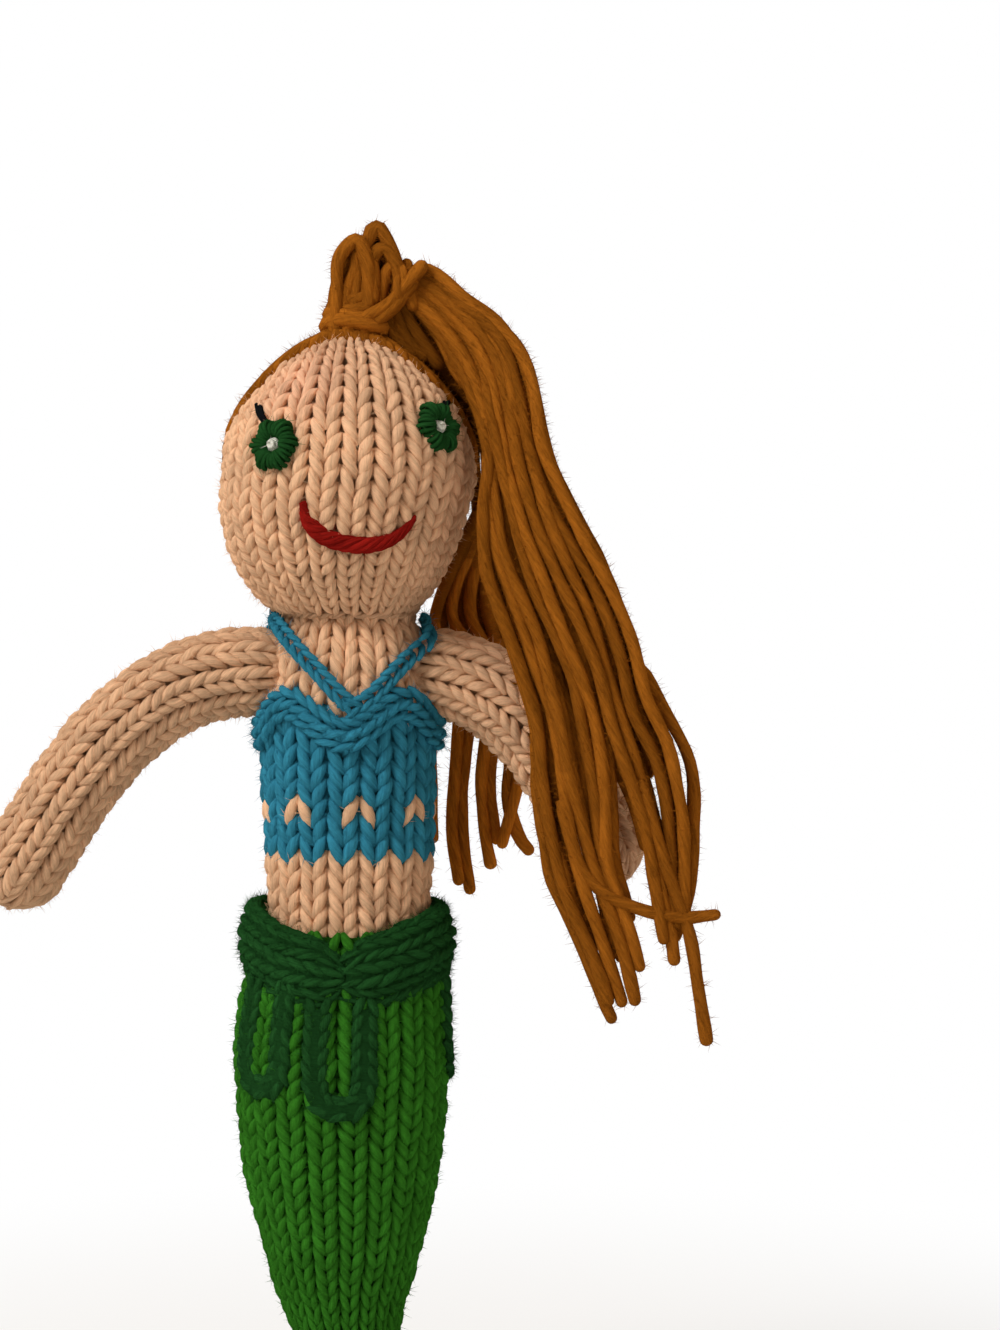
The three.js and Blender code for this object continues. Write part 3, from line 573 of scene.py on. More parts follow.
def padding(name, place, rows, step, slot, depth=1.9 * MM, sides=48, dim=0.85):
    """The stuffed form under the stitches, closed at both ends; dim darkens it as painted shade in the gaps
    between them
    """
    angles = [math.tau * k / sides for k in range(sides)]
    rings = [[place(u, v) - frame_at(place, u, v, step)[2] * depth for u in angles] for v in rows]
    points = [p for ring in rings for p in ring]
    faces = []
    for r in range(len(rings) - 1):
        for k in range(sides):
            n = (k + 1) % sides
            faces.append((r * sides + k, r * sides + n, (r + 1) * sides + n, (r + 1) * sides + k))
    for ring, end in ((0, rings[0]), (len(rings) - 1, rings[-1])):
        points.append(sum(end, Vector()) / sides)
        for k in range(sides):
            pair = (ring * sides + k, ring * sides + (k + 1) % sides)
            faces.append((*(pair if ring else pair[::-1]), len(points) - 1))
    mesh = bpy.data.meshes.new(name)
    mesh.from_pydata(points, [], faces)
    mesh.polygons.foreach_set("use_smooth", [True] * len(mesh.polygons))
    # Painted shade: the form is drawn darker than its yarn, so the gaps between stitches look shaded
    mark(mesh, "shade", [dim] * len(points))
    mark(mesh, "yarn", points)
    mesh.materials.append(yarn_of(slot))
    return mesh


def stuffed(name, place, stitches, core, step, slot, seed, second=None, fuzz=1.0, **looks):
    """Knitting and the stuffed form under it; core gives that form's first and last ring and their count"""
    form = padding(name, place, np.linspace(*core), step, slot, **looks)
    return [knitted(name, stitches, slot, second, fuzz, seed), form]


def strand(points, girth, seed, wander=0.0, taper=0.6, spacing=2.2 * MM):
    """One strand of yarn along a smooth line, with slubs, a wander of its own and a round end"""
    chance = Random(seed)
    count = max(6, round(line_length(points) / spacing))
    line = smooth_line(points, count)
    phase = chance.uniform(0, 90)
    places = [Vector((phase, i * spacing * WANDERS_PER_METRE, seed * 0.37)) for i in range(count)]
    shift = np.array([noise.noise_vector(place) for place in places])
    fade = np.minimum(1, np.linspace(0, 5, count))[:, None]
    line = line + shift * wander * fade
    bumps = [noise.noise(Vector((i * spacing * SLUBS_PER_METRE, phase, 0))) for i in range(count)]
    slub = np.array([1 + SLUB * bump for bump in bumps])
    slub = np.concatenate([slub, [slub[-1]] * len(CAP_GIRTH)])
    cap = np.concatenate([[taper], np.ones(count - 1), CAP_GIRTH])
    way = (line[-1] - line[-2]) / np.linalg.norm(line[-1] - line[-2])
    line = np.vstack([line, *[line[-1] + way * girth * reach for reach in CAP_REACH]])
    least, most = STRAND_SHADES
    return line, girth * slub * cap, min(most, max(least, chance.gauss(0.97, 0.1)))


def strands_of(name, strands, slot, fuzz=1.0, seed=1, sides=8):
    """A mesh of yarn strands"""
    points, edges, girths, shades = [], [], [], []
    for line, girth, shade in strands:
        start = len(points)
        points.extend(line)
        edges.extend((start + i, start + i + 1) for i in range(len(line) - 1))
        girths.extend(np.broadcast_to(girth, len(line)))
        shades.extend(np.broadcast_to(shade, len(line)))
    net = bpy.data.meshes.new("net")
    net.from_pydata([Vector(p) for p in points], edges, [])
    mark(net, "girth", girths)
    mark(net, "shade", shades)
    mark(net, "second", [0.0] * len(points))
    return grow(name, net, strand_tree, {"Sides": sides} | wool_settings(slot, None, fuzz, seed))


def twisted(points, radius, plies, pitch, seed):
    """Plies of yarn wound round each other along a line"""
    count = max(8, round(line_length(points) / (0.9 * MM)))
    line = smooth_line(points, count)
    way = np.gradient(line, axis=0)
    way /= np.linalg.norm(way, axis=1)[:, None]
    aside = np.cross(way, PLY_FRONT)
    aside /= np.linalg.norm(aside, axis=1)[:, None]
    over = np.cross(aside, way)
    run = run_along(line)
    made = []
    for k in range(plies):
        angle = math.tau * (run / pitch + k / plies)
        turned = np.cos(angle)[:, None] * aside + np.sin(angle)[:, None] * over
        wound = line + radius * PLY_OFFSET * turned
        made.append(strand(wound, radius * PLY_GIRTH, seed + k, spacing=1.1 * MM))
    return made


def piece(name, meshes, nodes):
    """Joins meshes into one finished piece that stands for CAD nodes"""
    parts = []
    for mesh in meshes:
        part = bpy.data.objects.new(name, mesh)
        bpy.context.scene.collection.objects.link(part)
        parts.append(part)
    if len(parts) > 1:
        with bpy.context.temp_override(active_object=parts[0], selected_editable_objects=parts,
                                       selected_objects=parts):
            bpy.ops.object.join()
    made = parts[0]
    made.name = made.data.name = name
    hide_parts(*nodes)
    return made


# Head

HEAD_MIDDLE = 92.4 * MM
HEAD_RADIUS = (HEAD_HIGH[0] - HEAD_LOW[0]) / 2
CROWN_REACH = HEAD_HIGH[2] - HEAD_MIDDLE
CHIN_REACH = 35.0 * MM
NECK_ANGLE = math.asin((HEAD_MIDDLE - HEAD_LOW[2]) / CHIN_REACH)
POLE_RISE = math.radians(84)
POLE_LEAN = math.radians(30)
LEAN_FROM = 0.25
CROWN_DRAW = 0.28
CROWN_POWER = 2.63
JAW_LEAN = -1.5 * MM
HEAD_ROWS = 28

# Eyes: across, height and the side they are on, in millimetres; lashes from the eye's middle, with their lift
EYES = {"right": (-13.9, 97.9, -1), "left": (19.4, 102.1, 1)}
LASHES = {"right": ((1.9, 4.6, 0.6), (3.1, 6.6, 1.0), (4.5, 9.2, 0.2)),
          "left": ((0.6, 4.2, 0.6), (1.2, 5.4, 0.9), (2.0, 6.6, 0.2))}
LASH_GIRTH = 0.55 * MM
LASH_SHIFT = 0.45

# Rosette: its ring and its loops in millimetres, each with the growth at a petal, over a ring of filling
PETALS = 6
ROSETTE_WINDS = 26
STEPS_PER_WIND = 14
ROSETTE_RING = (3.35, 0.4)
ROSETTE_LOOP = (1.25, 0.65)
ROSETTE_LIFT = 1.15 * MM
ROSETTE_GIRTH = 0.52 * MM
FILLING_LIFT = 1.1 * MM
FILLING_GIRTH = 1.25 * MM

# Knot in the eye, in millimetres: it winds in and out to a point
EYE_KNOT_STEPS = 40
EYE_KNOT_RADII = (1.15, 0.25)
EYE_KNOT_HEIGHTS = (0.9, 2.5)
EYE_KNOT_GIRTH = 0.7 * MM

# Mouth: its line in pixels of the frame, and how thick it is along that line
MOUTH_PIXELS = [(304, 507), (309, 521), (321, 533), (340, 541), (362, 544), (385, 540), (401, 530),
                (413, 516)]
MOUTH_DEPTH = -25 * MM
MOUTH_SWELL = ([0, 0.06, 0.25, 0.6, 0.85, 1], [1.1, 1.3, 1.3, 1.1, 0.85, 0.45])
MOUTH_STEPS = 60
MOUTH_PLIES = 5
MOUTH_PITCH = 13 * MM
MOUTH_LIFT = 0.7 * MM
MOUTH_GIRTH = 0.72 * MM


def crown_draw(share):
    """The share of its width that the head keeps, at a share of the way from its middle to its crown"""
    return 1 - CROWN_DRAW * max(0.0, share) ** CROWN_POWER


def jaw_lean(share):
    """How far the lower face leans to one side at a share of the way from the head's middle to its chin"""
    return JAW_LEAN * 4 * max(0.0, share) * (1 - max(0.0, share))


def head_reach(rise):
    """The head's half height, over or under its middle"""
    return CROWN_REACH if rise > 0 else CHIN_REACH


def head_radius_at(height):
    """Radius of the head at a height"""
    rise = height - HEAD_MIDDLE
    share = rise / head_reach(rise)
    return HEAD_RADIUS * math.sqrt(max(0.0, 1 - share ** 2)) * crown_draw(share)


def head_place(u, v):
    """Head form; its columns of stitches run from the neck over the brow to a pole that leans to the back"""
    rise = -NECK_ANGLE + v * (POLE_RISE + NECK_ANGLE)
    blend = min(1.0, max(0.0, (v - LEAN_FROM) / (1 - LEAN_FROM)))
    lean = POLE_LEAN * blend * blend * (3 - 2 * blend)
    x, y, z = math.cos(rise) * math.sin(u), -math.cos(rise) * math.cos(u), math.sin(rise)
    y, z = y * math.cos(lean) + z * math.sin(lean), z * math.cos(lean) - y * math.sin(lean)
    radius = HEAD_RADIUS * crown_draw(z)
    return Vector((radius * x + jaw_lean(-z), radius * y, HEAD_MIDDLE + z * head_reach(z)))


def on_face(x, z, lift=0.0):
    """A place on the front of the head, lifted off it, and the way out there"""
    radius = head_radius_at(z)
    y = -math.sqrt(max(1e-9, radius ** 2 - (x - jaw_lean((HEAD_MIDDLE - z) / CHIN_REACH)) ** 2))
    reach = head_reach(z - HEAD_MIDDLE)
    out = Vector((x, y, (z - HEAD_MIDDLE) * (HEAD_RADIUS / reach) ** 2)).normalized()
    return Vector((x, y, z)) + out * lift, out


def wound_at(spot, out, angle, reach, lift):
    """A line wound round the way out of a spot"""
    level = Vector((0, 0, 1)).cross(out).normalized()
    over = out.cross(level)
    flat = np.array(spot) + np.outer(reach * np.cos(angle), level) + np.outer(reach * np.sin(angle), over)
    return flat + np.outer(lift, out)


class DOLL_OT_head(bpy.types.Operator):
    """Knit and stuff the head, drawn in at the neck"""
    bl_idname = "doll.head"
    bl_label = "Head"

    def execute(self, context):
        place = lumpy(head_place)
        step = 1 / HEAD_ROWS
        rows = [(i + 0.1) * step for i in range(HEAD_ROWS)]
        stitches = knit(place, sizes().head_wales, rows, step, seed=11, sink=0.8 * MM)
        parts = stuffed("head", place, stitches, (0, 0.99, 30), step, "skin_yarn", seed=11)
        made = piece("head_knit", parts, ["head_cover", "head_stuffing"])
        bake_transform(made)
        return {"FINISHED"}


class DOLL_OT_face(bpy.types.Operator):
    """Sew on the eyes with their knots and lashes, and the mouth"""
    bl_idname = "doll.face"
    bl_label = "Face"

    def rosette(self, spot, out):
        """A ring of crocheted loops with petals, over a ring of yarn that fills it"""
        angle = np.linspace(0, math.tau, ROSETTE_WINDS * STEPS_PER_WIND + 1)
        petal = 0.5 + 0.5 * np.cos(PETALS * angle)
        ring, tube = [(least + growth * petal) * MM for least, growth in (ROSETTE_RING, ROSETTE_LOOP)]
        wind = ROSETTE_WINDS * angle
        loops = wound_at(spot, out, angle, ring + tube * np.cos(wind), ROSETTE_LIFT + tube * np.sin(wind))
        filling = wound_at(spot, out, angle, ring, FILLING_LIFT)
        return [(loops, ROSETTE_GIRTH, 1.1), (filling[::STEPS_PER_WIND // 2], FILLING_GIRTH, 0.9)]

    def knot(self, spot, out):
        """A knot of yarn that winds up to a point"""
        turns = np.linspace(0, 5 * math.pi, EYE_KNOT_STEPS)
        radii = np.linspace(*EYE_KNOT_RADII, EYE_KNOT_STEPS) * MM
        heights = np.linspace(*EYE_KNOT_HEIGHTS, EYE_KNOT_STEPS) * MM
        return wound_at(spot, out, turns, radii, heights)

    def lash(self, side):
        """Two threads laid side by side from the rim of the eye"""
        x, z, sign = EYES[side]
        rows = []
        for shift in (-LASH_SHIFT, LASH_SHIFT):
            line = [on_face((x + sign * (a + shift)) * MM, (z + b + shift * 0.6) * MM, lift * MM)[0]
                    for a, b, lift in LASHES[side]]
            rows.append(strand(line, LASH_GIRTH, seed=17, spacing=0.8 * MM))
        return strands_of("lash", rows, "black_thread", fuzz=0.5, seed=3, sides=6)

    def lips(self):
        """Plies of yarn wound along the line of the mouth"""
        route = [on_face(x, z, MOUTH_LIFT)[0] for x, _, z in route_at(MOUTH_PIXELS, MOUTH_DEPTH)]
        path = smooth_line(route, MOUTH_STEPS)
        share = np.linspace(0, 1, MOUTH_STEPS)
        swell = np.interp(share, *MOUTH_SWELL)
        run = share * line_length(path) / MOUTH_PITCH
        plies = []
        for k in range(MOUTH_PLIES):
            angle = math.tau * (run + k / MOUTH_PLIES)
            offset = np.column_stack([0 * share, -0.45 * np.cos(angle) * MM, 0.95 * np.sin(angle) * MM])
            plies.append((path + swell[:, None] * offset, MOUTH_GIRTH * swell, 1 + 0.06 * (k - 2)))
        return plies

    def execute(self, context):
        for side, (x, z, sign) in EYES.items():
            spot, out = on_face(x * MM, z * MM, -0.3 * MM)
            loops = strands_of("eye", self.rosette(spot, out), "dark_green_yarn", fuzz=1.4, seed=31, sides=6)
            eye = piece(f"eye_rosette_{side}", [loops], [f"eye_{side}"])
            wound = [(self.knot(spot, out), EYE_KNOT_GIRTH, 1.0)]
            curl = strands_of("knot", wound, "white_yarn", fuzz=0.8, seed=5, sides=6)
            knot = piece(f"eye_knot_{side}_yarn", [curl], [f"eye_knot_{side}"])
            lash = piece(f"lash_{side}_stitch", [self.lash(side)], [f"lash_{side}"])
            for made in (eye, knot, lash):
                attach(made, "head")
        lips = strands_of("mouth", self.lips(), "red_yarn", fuzz=0.9, seed=41, sides=7)
        mouth = piece("mouth_stitches", [lips], ["mouth"])
        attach(mouth, "head")
        return {"FINISHED"}


# Torso, with radii and heights in millimetres

TORSO_DEPTH = 16.5 / 19.2
TORSO_SIDE = [(15.5, -19), (17.0, -13), (17.7, -6), (17.9, 2), (18.6, 12), (19.2, 24), (19.3, 36), (19.2, 45),
              (18.2, 51.5), (16.6, 56.5), (15.0, 60), (14.6, 62.8)]
TORSO_RADII, TORSO_HEIGHTS = zip(*TORSO_SIDE)
TORSO_ROW = 3.9
TORSO_FIRST_ROW = 8.2
TORSO_TURN = math.radians(10)
MOTIF_ROW = 3
TOP_EDGE = 38.5
CUP_RISE = 6.5
CUP_SPAN = 80
NECK_LEVEL = 62.6
NECK_HALF_WIDTH = 13.9
NECK_HALF_DEPTH = 12.6

# Straps: in front in pixels of the frame, at the back in degrees from the front and in millimetres of height
STRAP_PIXELS = {"right": [(352, 706), (336, 691), (318, 670), (300, 650), (284, 631), (272, 617)],
                "left": [(352, 708), (370, 697), (388, 678), (406, 657), (421, 639), (431, 621)]}
STRAP_DEPTH = -14 * MM
STRAP_BACK = [(88, 60.6), (112, 58.4), (132, 53.0), (148, 47.0), (158, 41.0)]
COLLAR_PIXEL = 650
SHOULDER_LEVEL = 56
CHEST_LIFT = 1.3
COLLAR_LIFT = 2.0
SHOULDER_LIFT = 2.2
BACK_LIFT = 1.2
ARM_ROOT_PIXELS = (625, 665)
ARM_ROOT_FRONT = -8.0 * MM

# Trim: two rows of chain stitch along the top's edge
TRIM_DROP = 0.5
TRIM_LIFT = 1.0 * MM
TRIM_ROW = 2.6 * MM


def torso_place(u, v):
    """Torso form at a height in millimetres"""
    radius = float(np.interp(v, TORSO_HEIGHTS, TORSO_RADII)) * MM
    return Vector((radius * math.sin(u), -radius * TORSO_DEPTH * math.cos(u), v * MM))


def torso_rows(first, last):
    """Heights of the torso's rows, counted from the last bare row under the top"""
    return [TORSO_FIRST_ROW + TORSO_ROW * k for k in range(first, last)]


def top_edge(u):
    """Height of the top's upper edge, which is scalloped over the chest"""
    turn = (math.degrees(u) + 180) % 360 - 180
    cup = math.sin(math.radians(turn * (180 / CUP_SPAN))) ** 2 if abs(turn) < CUP_SPAN else 0.0
    return TOP_EDGE + CUP_RISE * cup


def top_yarn(u, v, k):
    """The yarn of a stitch of the top: the second one in the motif row, and none over its edge"""
    if v > top_edge(u):
        return None
    motif_height = torso_rows(MOTIF_ROW, MOTIF_ROW + 1)[0]
    return 1 if abs(v - motif_height) < 0.1 and k % 2 == 0 else 0


def chest_yarn(u, v, k):
    """The yarn of a stitch of the chest, which starts over the top's edge"""
    return 0 if v > top_edge(u) else None


class DOLL_OT_torso(bpy.types.Operator):
    """Knit the torso tube in its three bands of colour, with the little motif row"""
    bl_idname = "doll.torso"
    bl_label = "Torso"

    def band(self, name, rows, core, slot, seed, second=None, pick=None, tone=1.0):
        """A band of the torso from its first row up to its last, over its own part of the stuffed form"""
        place = lumpy(torso_place, 0.35 * MM)
        stitches = knit(place, sizes().torso_wales, torso_rows(*rows), TORSO_ROW, seed, TORSO_TURN, pick=pick,
                        tone=tone)
        return stuffed(name, place, stitches, core, TORSO_ROW, slot, seed, second)

    def execute(self, context):
        # The waist's tone of 0.92 darkens its stitches as painted shade
        parts = self.band("waist", (-6, 1), (-18, 10.2, 12), "skin_yarn", seed=21, tone=0.92)
        made = piece("waist_fabric", parts, ["waist_knit"])
        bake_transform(made)
        parts = self.band("top", (1, 11), (10, 40, 12), "blue_yarn", seed=22, second="skin_yarn",
                          pick=top_yarn)
        made = piece("top_fabric", parts, ["top_knit", "torso_stuffing"])
        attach(made, "torso")
        parts = self.band("chest", (7, 15), (39.8, 62.5, 14), "skin_yarn", seed=23, pick=chest_yarn)
        made = piece("chest_fabric", parts, ["chest_knit"])
        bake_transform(made)
        plies = twisted(self.neckline(), radius=1.0 * MM, plies=2, pitch=5 * MM, seed=9)
        cord = strands_of("gathering", plies, "skin_yarn", fuzz=0.8, seed=9, sides=6)
        draw = piece("neck_gathering", [cord], ["neck_drawstring"])
        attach(draw, "neck")
        return {"FINISHED"}

    def neckline(self):
        """The line that draws the neck in"""
        return [(NECK_HALF_WIDTH * MM * math.sin(a), -NECK_HALF_DEPTH * MM * math.cos(a), NECK_LEVEL * MM)
                for a in np.linspace(0.05, 6.25, 40)]


class DOLL_OT_top_cords(bpy.types.Operator):
    """Crochet the straps and the scalloped trim of the top"""
    bl_idname = "doll.top_cords"
    bl_label = "Straps and trim"

    def lay(self, line, facing, turn, height, lift):
        """Adds a place on the torso to a cord's route"""
        out = frame_at(torso_place, turn, height, 1.0)[2]
        line.append(torso_place(turn, height) + out * lift)
        facing.append(out)

    def strap(self, side, sign):
        """A strap's route, from the middle of the top over the shoulder and in front of the arm's root"""
        line, facing = [], []
        for across, down in STRAP_PIXELS[side]:
            x, _, z = seen_at(across, down, STRAP_DEPTH)
            turn = math.asin(max(-1, min(1, x / torso_place(math.pi / 2, z / MM).x)))
            lift = CHEST_LIFT if down > COLLAR_PIXEL else COLLAR_LIFT
            self.lay(line, facing, turn, z / MM, lift * MM)
            if ARM_ROOT_PIXELS[0] < down < ARM_ROOT_PIXELS[1]:
                line[-1].y = min(line[-1].y, ARM_ROOT_FRONT)
        for degrees, height in STRAP_BACK:
            lift = SHOULDER_LIFT if height > SHOULDER_LEVEL else BACK_LIFT
            self.lay(line, facing, sign * math.radians(degrees), height, lift * MM)
        return line, facing

    def execute(self, context):
        for side, sign in (("right", -1), ("left", 1)):
            stitches = chain(*self.strap(side, sign), width=3.9 * MM, pitch=2.8 * MM, seed=51)
            cord = knitted("strap", stitches, "blue_yarn", fuzz=3.0, seed=51)
            made = piece(f"strap_{side}_cord", [cord], [f"strap_{side}"])
            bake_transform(made)
        line, facing = [], []
        for degrees in range(-176, 178, 8):
            u = math.radians(degrees)
            self.lay(line, facing, u, top_edge(u) - TRIM_DROP, TRIM_LIFT)
        low = [spot - Vector((0, 0, TRIM_ROW)) for spot in line]
        stitches = chain(line, facing, width=5.2 * MM, pitch=3.2 * MM, seed=52)
        stitches += chain(low, facing, width=4.6 * MM, pitch=3.3 * MM, seed=53, sink=0.3 * MM)
        trim = knitted("trim", stitches, "blue_yarn", fuzz=3.0, seed=52)
        made = piece("bust_trim_cord", [trim], ["bust_trim"])
        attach(made, "torso")
        return {"FINISHED"}


# Arms, in millimetres

# Each arm's tone is the mean shade of its stitches; the right arm's 0.86 darkens it as painted shade
ARMS = {
    "right": {"sign": -1, "reach": 53.2, "drop": 42.5, "lift": 1.0, "tone": 0.86},
    "left": {"sign": 1, "reach": 37.0, "drop": 37.3, "lift": -3.0, "tone": 1.0},
}
SHOULDER = (18.644, 50.2)
ARM_RADIUS = 9.2
ARM_ROW = 3.3
ROOT_REACH = 7.4
HAND_REACH = 9.4
LOOK_AHEAD = 1.5

# Where the two points lie that bend an arm, in shares of its reach and its drop
BEND_REACHES = (0.43, 0.665)
BEND_DROP = 0.32


def arm_form(sign, reach, drop, lift):
    """An arm: a bent tube with a round hand and a round root in the shoulder"""
    a = np.array((sign * SHOULDER[0], SHOULDER[1]))
    b = a + (sign * BEND_REACHES[0] * reach, lift)
    c = a + (sign * BEND_REACHES[1] * reach, -BEND_DROP * drop)
    d = a + (sign * reach, -drop)
    t = np.linspace(0, 1, 60)[:, None]
    curve = a * (1 - t) ** 3 + 3 * b * t * (1 - t) ** 2 + 3 * c * t ** 2 * (1 - t) + d * t ** 3
    first, last = curve[0] - curve[1], curve[-1] - curve[-2]
    root = curve[0] + first / np.linalg.norm(first) * ROOT_REACH
    hand = curve[-1] + last / np.linalg.norm(last) * HAND_REACH
    curve = np.vstack([root, curve, hand])
    steps = run_along(curve)
    total = steps[-1]

    def middle(run):
        return np.array([np.interp(run, steps, column) for column in curve.T])

    def place(u, v):
        run = v * total
        x, z = middle(run)
        ahead = middle(min(total, run + LOOK_AHEAD)) - middle(max(0, run - LOOK_AHEAD))
        way = Vector((ahead[0], 0, ahead[1])).normalized()
        radius = ARM_RADIUS
        for end in (run, total - run):
            if end < radius:
                radius = min(radius, math.sqrt(max(0.01, radius ** 2 - (radius - end) ** 2)))
        back = Vector((0, 1, 0))
        side = way.cross(back)
        return (Vector((x, 0, z)) + side * radius * math.cos(u) + back * radius * math.sin(u)) * MM
    return place, total


class DOLL_OT_arms(bpy.types.Operator):
    """Knit and stuff the arms; their roots run into the shoulders"""
    bl_idname = "doll.arms"
    bl_label = "Arms"

    def execute(self, context):
        for side, facts in ARMS.items():
            form, total = arm_form(facts["sign"], facts["reach"], facts["drop"], facts["lift"])
            shape = lumpy(form, 0.4 * MM)

            def place(u, v):
                return shape(u, 1 - v)

            count = round(total / ARM_ROW)
            step = 1 / count
            rows = [(i + 0.6) * step for i in range(count - 1)]
            stitches = knit(place, sizes().arm_wales, rows, step, seed=61, turn=0.35, sink=0.8 * MM,
                            tone=facts["tone"])
            parts = stuffed("arm", place, stitches, (0.015, 0.985, 34), step, "skin_yarn", seed=61, sides=32)
            nodes = [f"arm_{side}_cover", f"arm_{side}_stuffing"]
            made = piece(f"arm_{side}_knit", parts, nodes)
            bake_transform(made)
        return {"FINISHED"}


# Tail, with its fins, band and scale loops, in millimetres

TAIL_WIDEST = 23.6
TAIL_DEPTH = 20 / TAIL_WIDEST
TAIL_SIDE = [(6.0, -112.5), (9.6, -111), (12.4, -94.2), (18.0, -75), (22.2, -55.8), (TAIL_WIDEST, -38),
             (23.2, -26), (21.1, -9), (20.0, -4.5)]
TAIL_LEAN = ([-108, -85, -30, -12], [0, -1.3, -1.6, -0.6])
TAIL_ROWS = 33

# Fins: a lobe's root and length, its bow, and the stretch of a swell that it takes from its root to its tip
FIN_ROOT = (0.0, -112.0)
FIN_LENGTH = 42
FIN_LEAN = math.radians(36)
FIN_BOW = 0.07
FIN_HALF_WIDTH = 13.5
FIN_HALF_DEPTH = 3.6
FIN_STRETCH = (0.02, 0.97)
FIN_SWELL = (0.16, 0.82)
FIN_ROWS = 13
FIN_WALES = 12

# Waistband: it dips in front, where a notch parts its two ends
BAND_GAP = 0.035
BAND_LEVEL = 8.0
BAND_DIP = 7.0
BAND_RADIUS = 20.6
BAND_HALF_DEPTH = 2.9
BAND_HALF_HEIGHT = 8.4
BAND_SHIFT = 0.5
BAND_ROWS = 38
BAND_WALES = 9
NOTCH_DEPTH = 0.35
NOTCH_REACH = 0.16

# Scale loops: degrees from the front, the level and length of a loop, and the felted bed under its stitches
LOOP_TURNS = (-44, 2, 95, 158, -128)
LOOP_LEVEL = -15.0
LOOP_DIP = 6
LOOP_LENGTH = 21.5
LOOP_WIDTH = 10.5
LOOP_LIFT = 0.4
LOOP_SINK = 0.5
BED_HALF_WIDTH = 2.7 * MM
BED_HALF_DEPTH = 1.0 * MM
BED_STEPS = 48
BED_RINGS = 44


def tail_outline_at(height):
    """Radius of the tail at a height in millimetres"""
    line = smooth_line(TAIL_SIDE, 200)
    return float(np.interp(height, line[:, 1], line[:, 0]))


def tail_lean(height):
    """How far the tail hangs to one side at a height in millimetres"""
    return float(np.interp(height, *TAIL_LEAN)) * MM


def tail_form():
    """The tail, turned about its middle line and hung a little to one side; u goes round it, v up it"""
    line = smooth_line(TAIL_SIDE, 240) * MM
    share = np.linspace(0, 1, len(line))

    def place(u, v):
        radius = np.interp(v, share, line[:, 0])
        height = np.interp(v, share, line[:, 1])
        spot = Vector((radius * math.sin(u), -radius * TAIL_DEPTH * math.cos(u), height))
        return spot + Vector((tail_lean(spot.z / MM), 0, 0))
    return place


class DOLL_OT_tail(bpy.types.Operator):
    """Knit and stuff the tail"""
    bl_idname = "doll.tail"
    bl_label = "Tail"

    def execute(self, context):
        place = lumpy(tail_form(), 0.6 * MM)
        step = 1 / TAIL_ROWS
        rows = [(i + 1.9) * step for i in range(TAIL_ROWS - 2)]
        stitches = knit(place, sizes().tail_wales, rows, step, seed=71)
        # The tail's form is darkened further, as deeper painted shade between its stitches
        parts = stuffed("tail", place, stitches, (0, 0.985, 34), step, "green_yarn", seed=71, dim=0.45)
        made = piece("tail_knit", parts, ["tail_cover", "tail_stuffing"])
        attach(made, "tail")
        return {"FINISHED"}


class DOLL_OT_fins(bpy.types.Operator):
    """Knit the two lobes of the tail fin"""
    bl_idname = "doll.fins"
    bl_label = "Fins"

    def lobe(self, sign):
        """A flat bowed lobe; u goes round it, v from its root to its tip"""
        root = np.array(FIN_ROOT)
        tip = root + FIN_LENGTH * np.array((sign * math.sin(FIN_LEAN), -math.cos(FIN_LEAN)))
        bow = (root + tip) / 2 + FIN_LENGTH * FIN_BOW * np.array((sign, -1))

        def place(u, v):
            t = FIN_STRETCH[0] + FIN_STRETCH[1] * v
            spot = root * (1 - t) ** 2 + 2 * bow * t * (1 - t) + tip * t ** 2
            way = 2 * (1 - t) * (bow - root) + 2 * t * (tip - bow)
            way = way / np.linalg.norm(way)
            swell = math.sin(math.pi * min(1, FIN_SWELL[0] + FIN_SWELL[1] * t)) ** 0.8
            across = Vector((-way[1], 0, way[0])) * (FIN_HALF_WIDTH * swell)
            deep = Vector((0, 1, 0)) * (FIN_HALF_DEPTH * swell ** 0.5)
            return (Vector((spot[0], 0, spot[1])) + across * math.cos(u) + deep * math.sin(u)) * MM
        return place

    def execute(self, context):
        for side, sign in (("right", -1), ("left", 1)):
            form = lumpy(self.lobe(sign), 0.4 * MM)

            def place(u, v):
                return form(u, 1 - v)

            step = 1 / FIN_ROWS
            rows = [(i + 0.45) * step for i in range(FIN_ROWS)]
            stitches = knit(place, FIN_WALES, rows, step, seed=81, sink=1.1 * MM)
            parts = stuffed("fin", place, stitches, (0.01, 0.99, 20), step, "dark_green_yarn", seed=81,
                            depth=1.2 * MM, sides=32)
            made = piece(f"fin_{side}_knit", parts, [f"fin_lobe_{side}"])
            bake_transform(made)
        return {"FINISHED"}


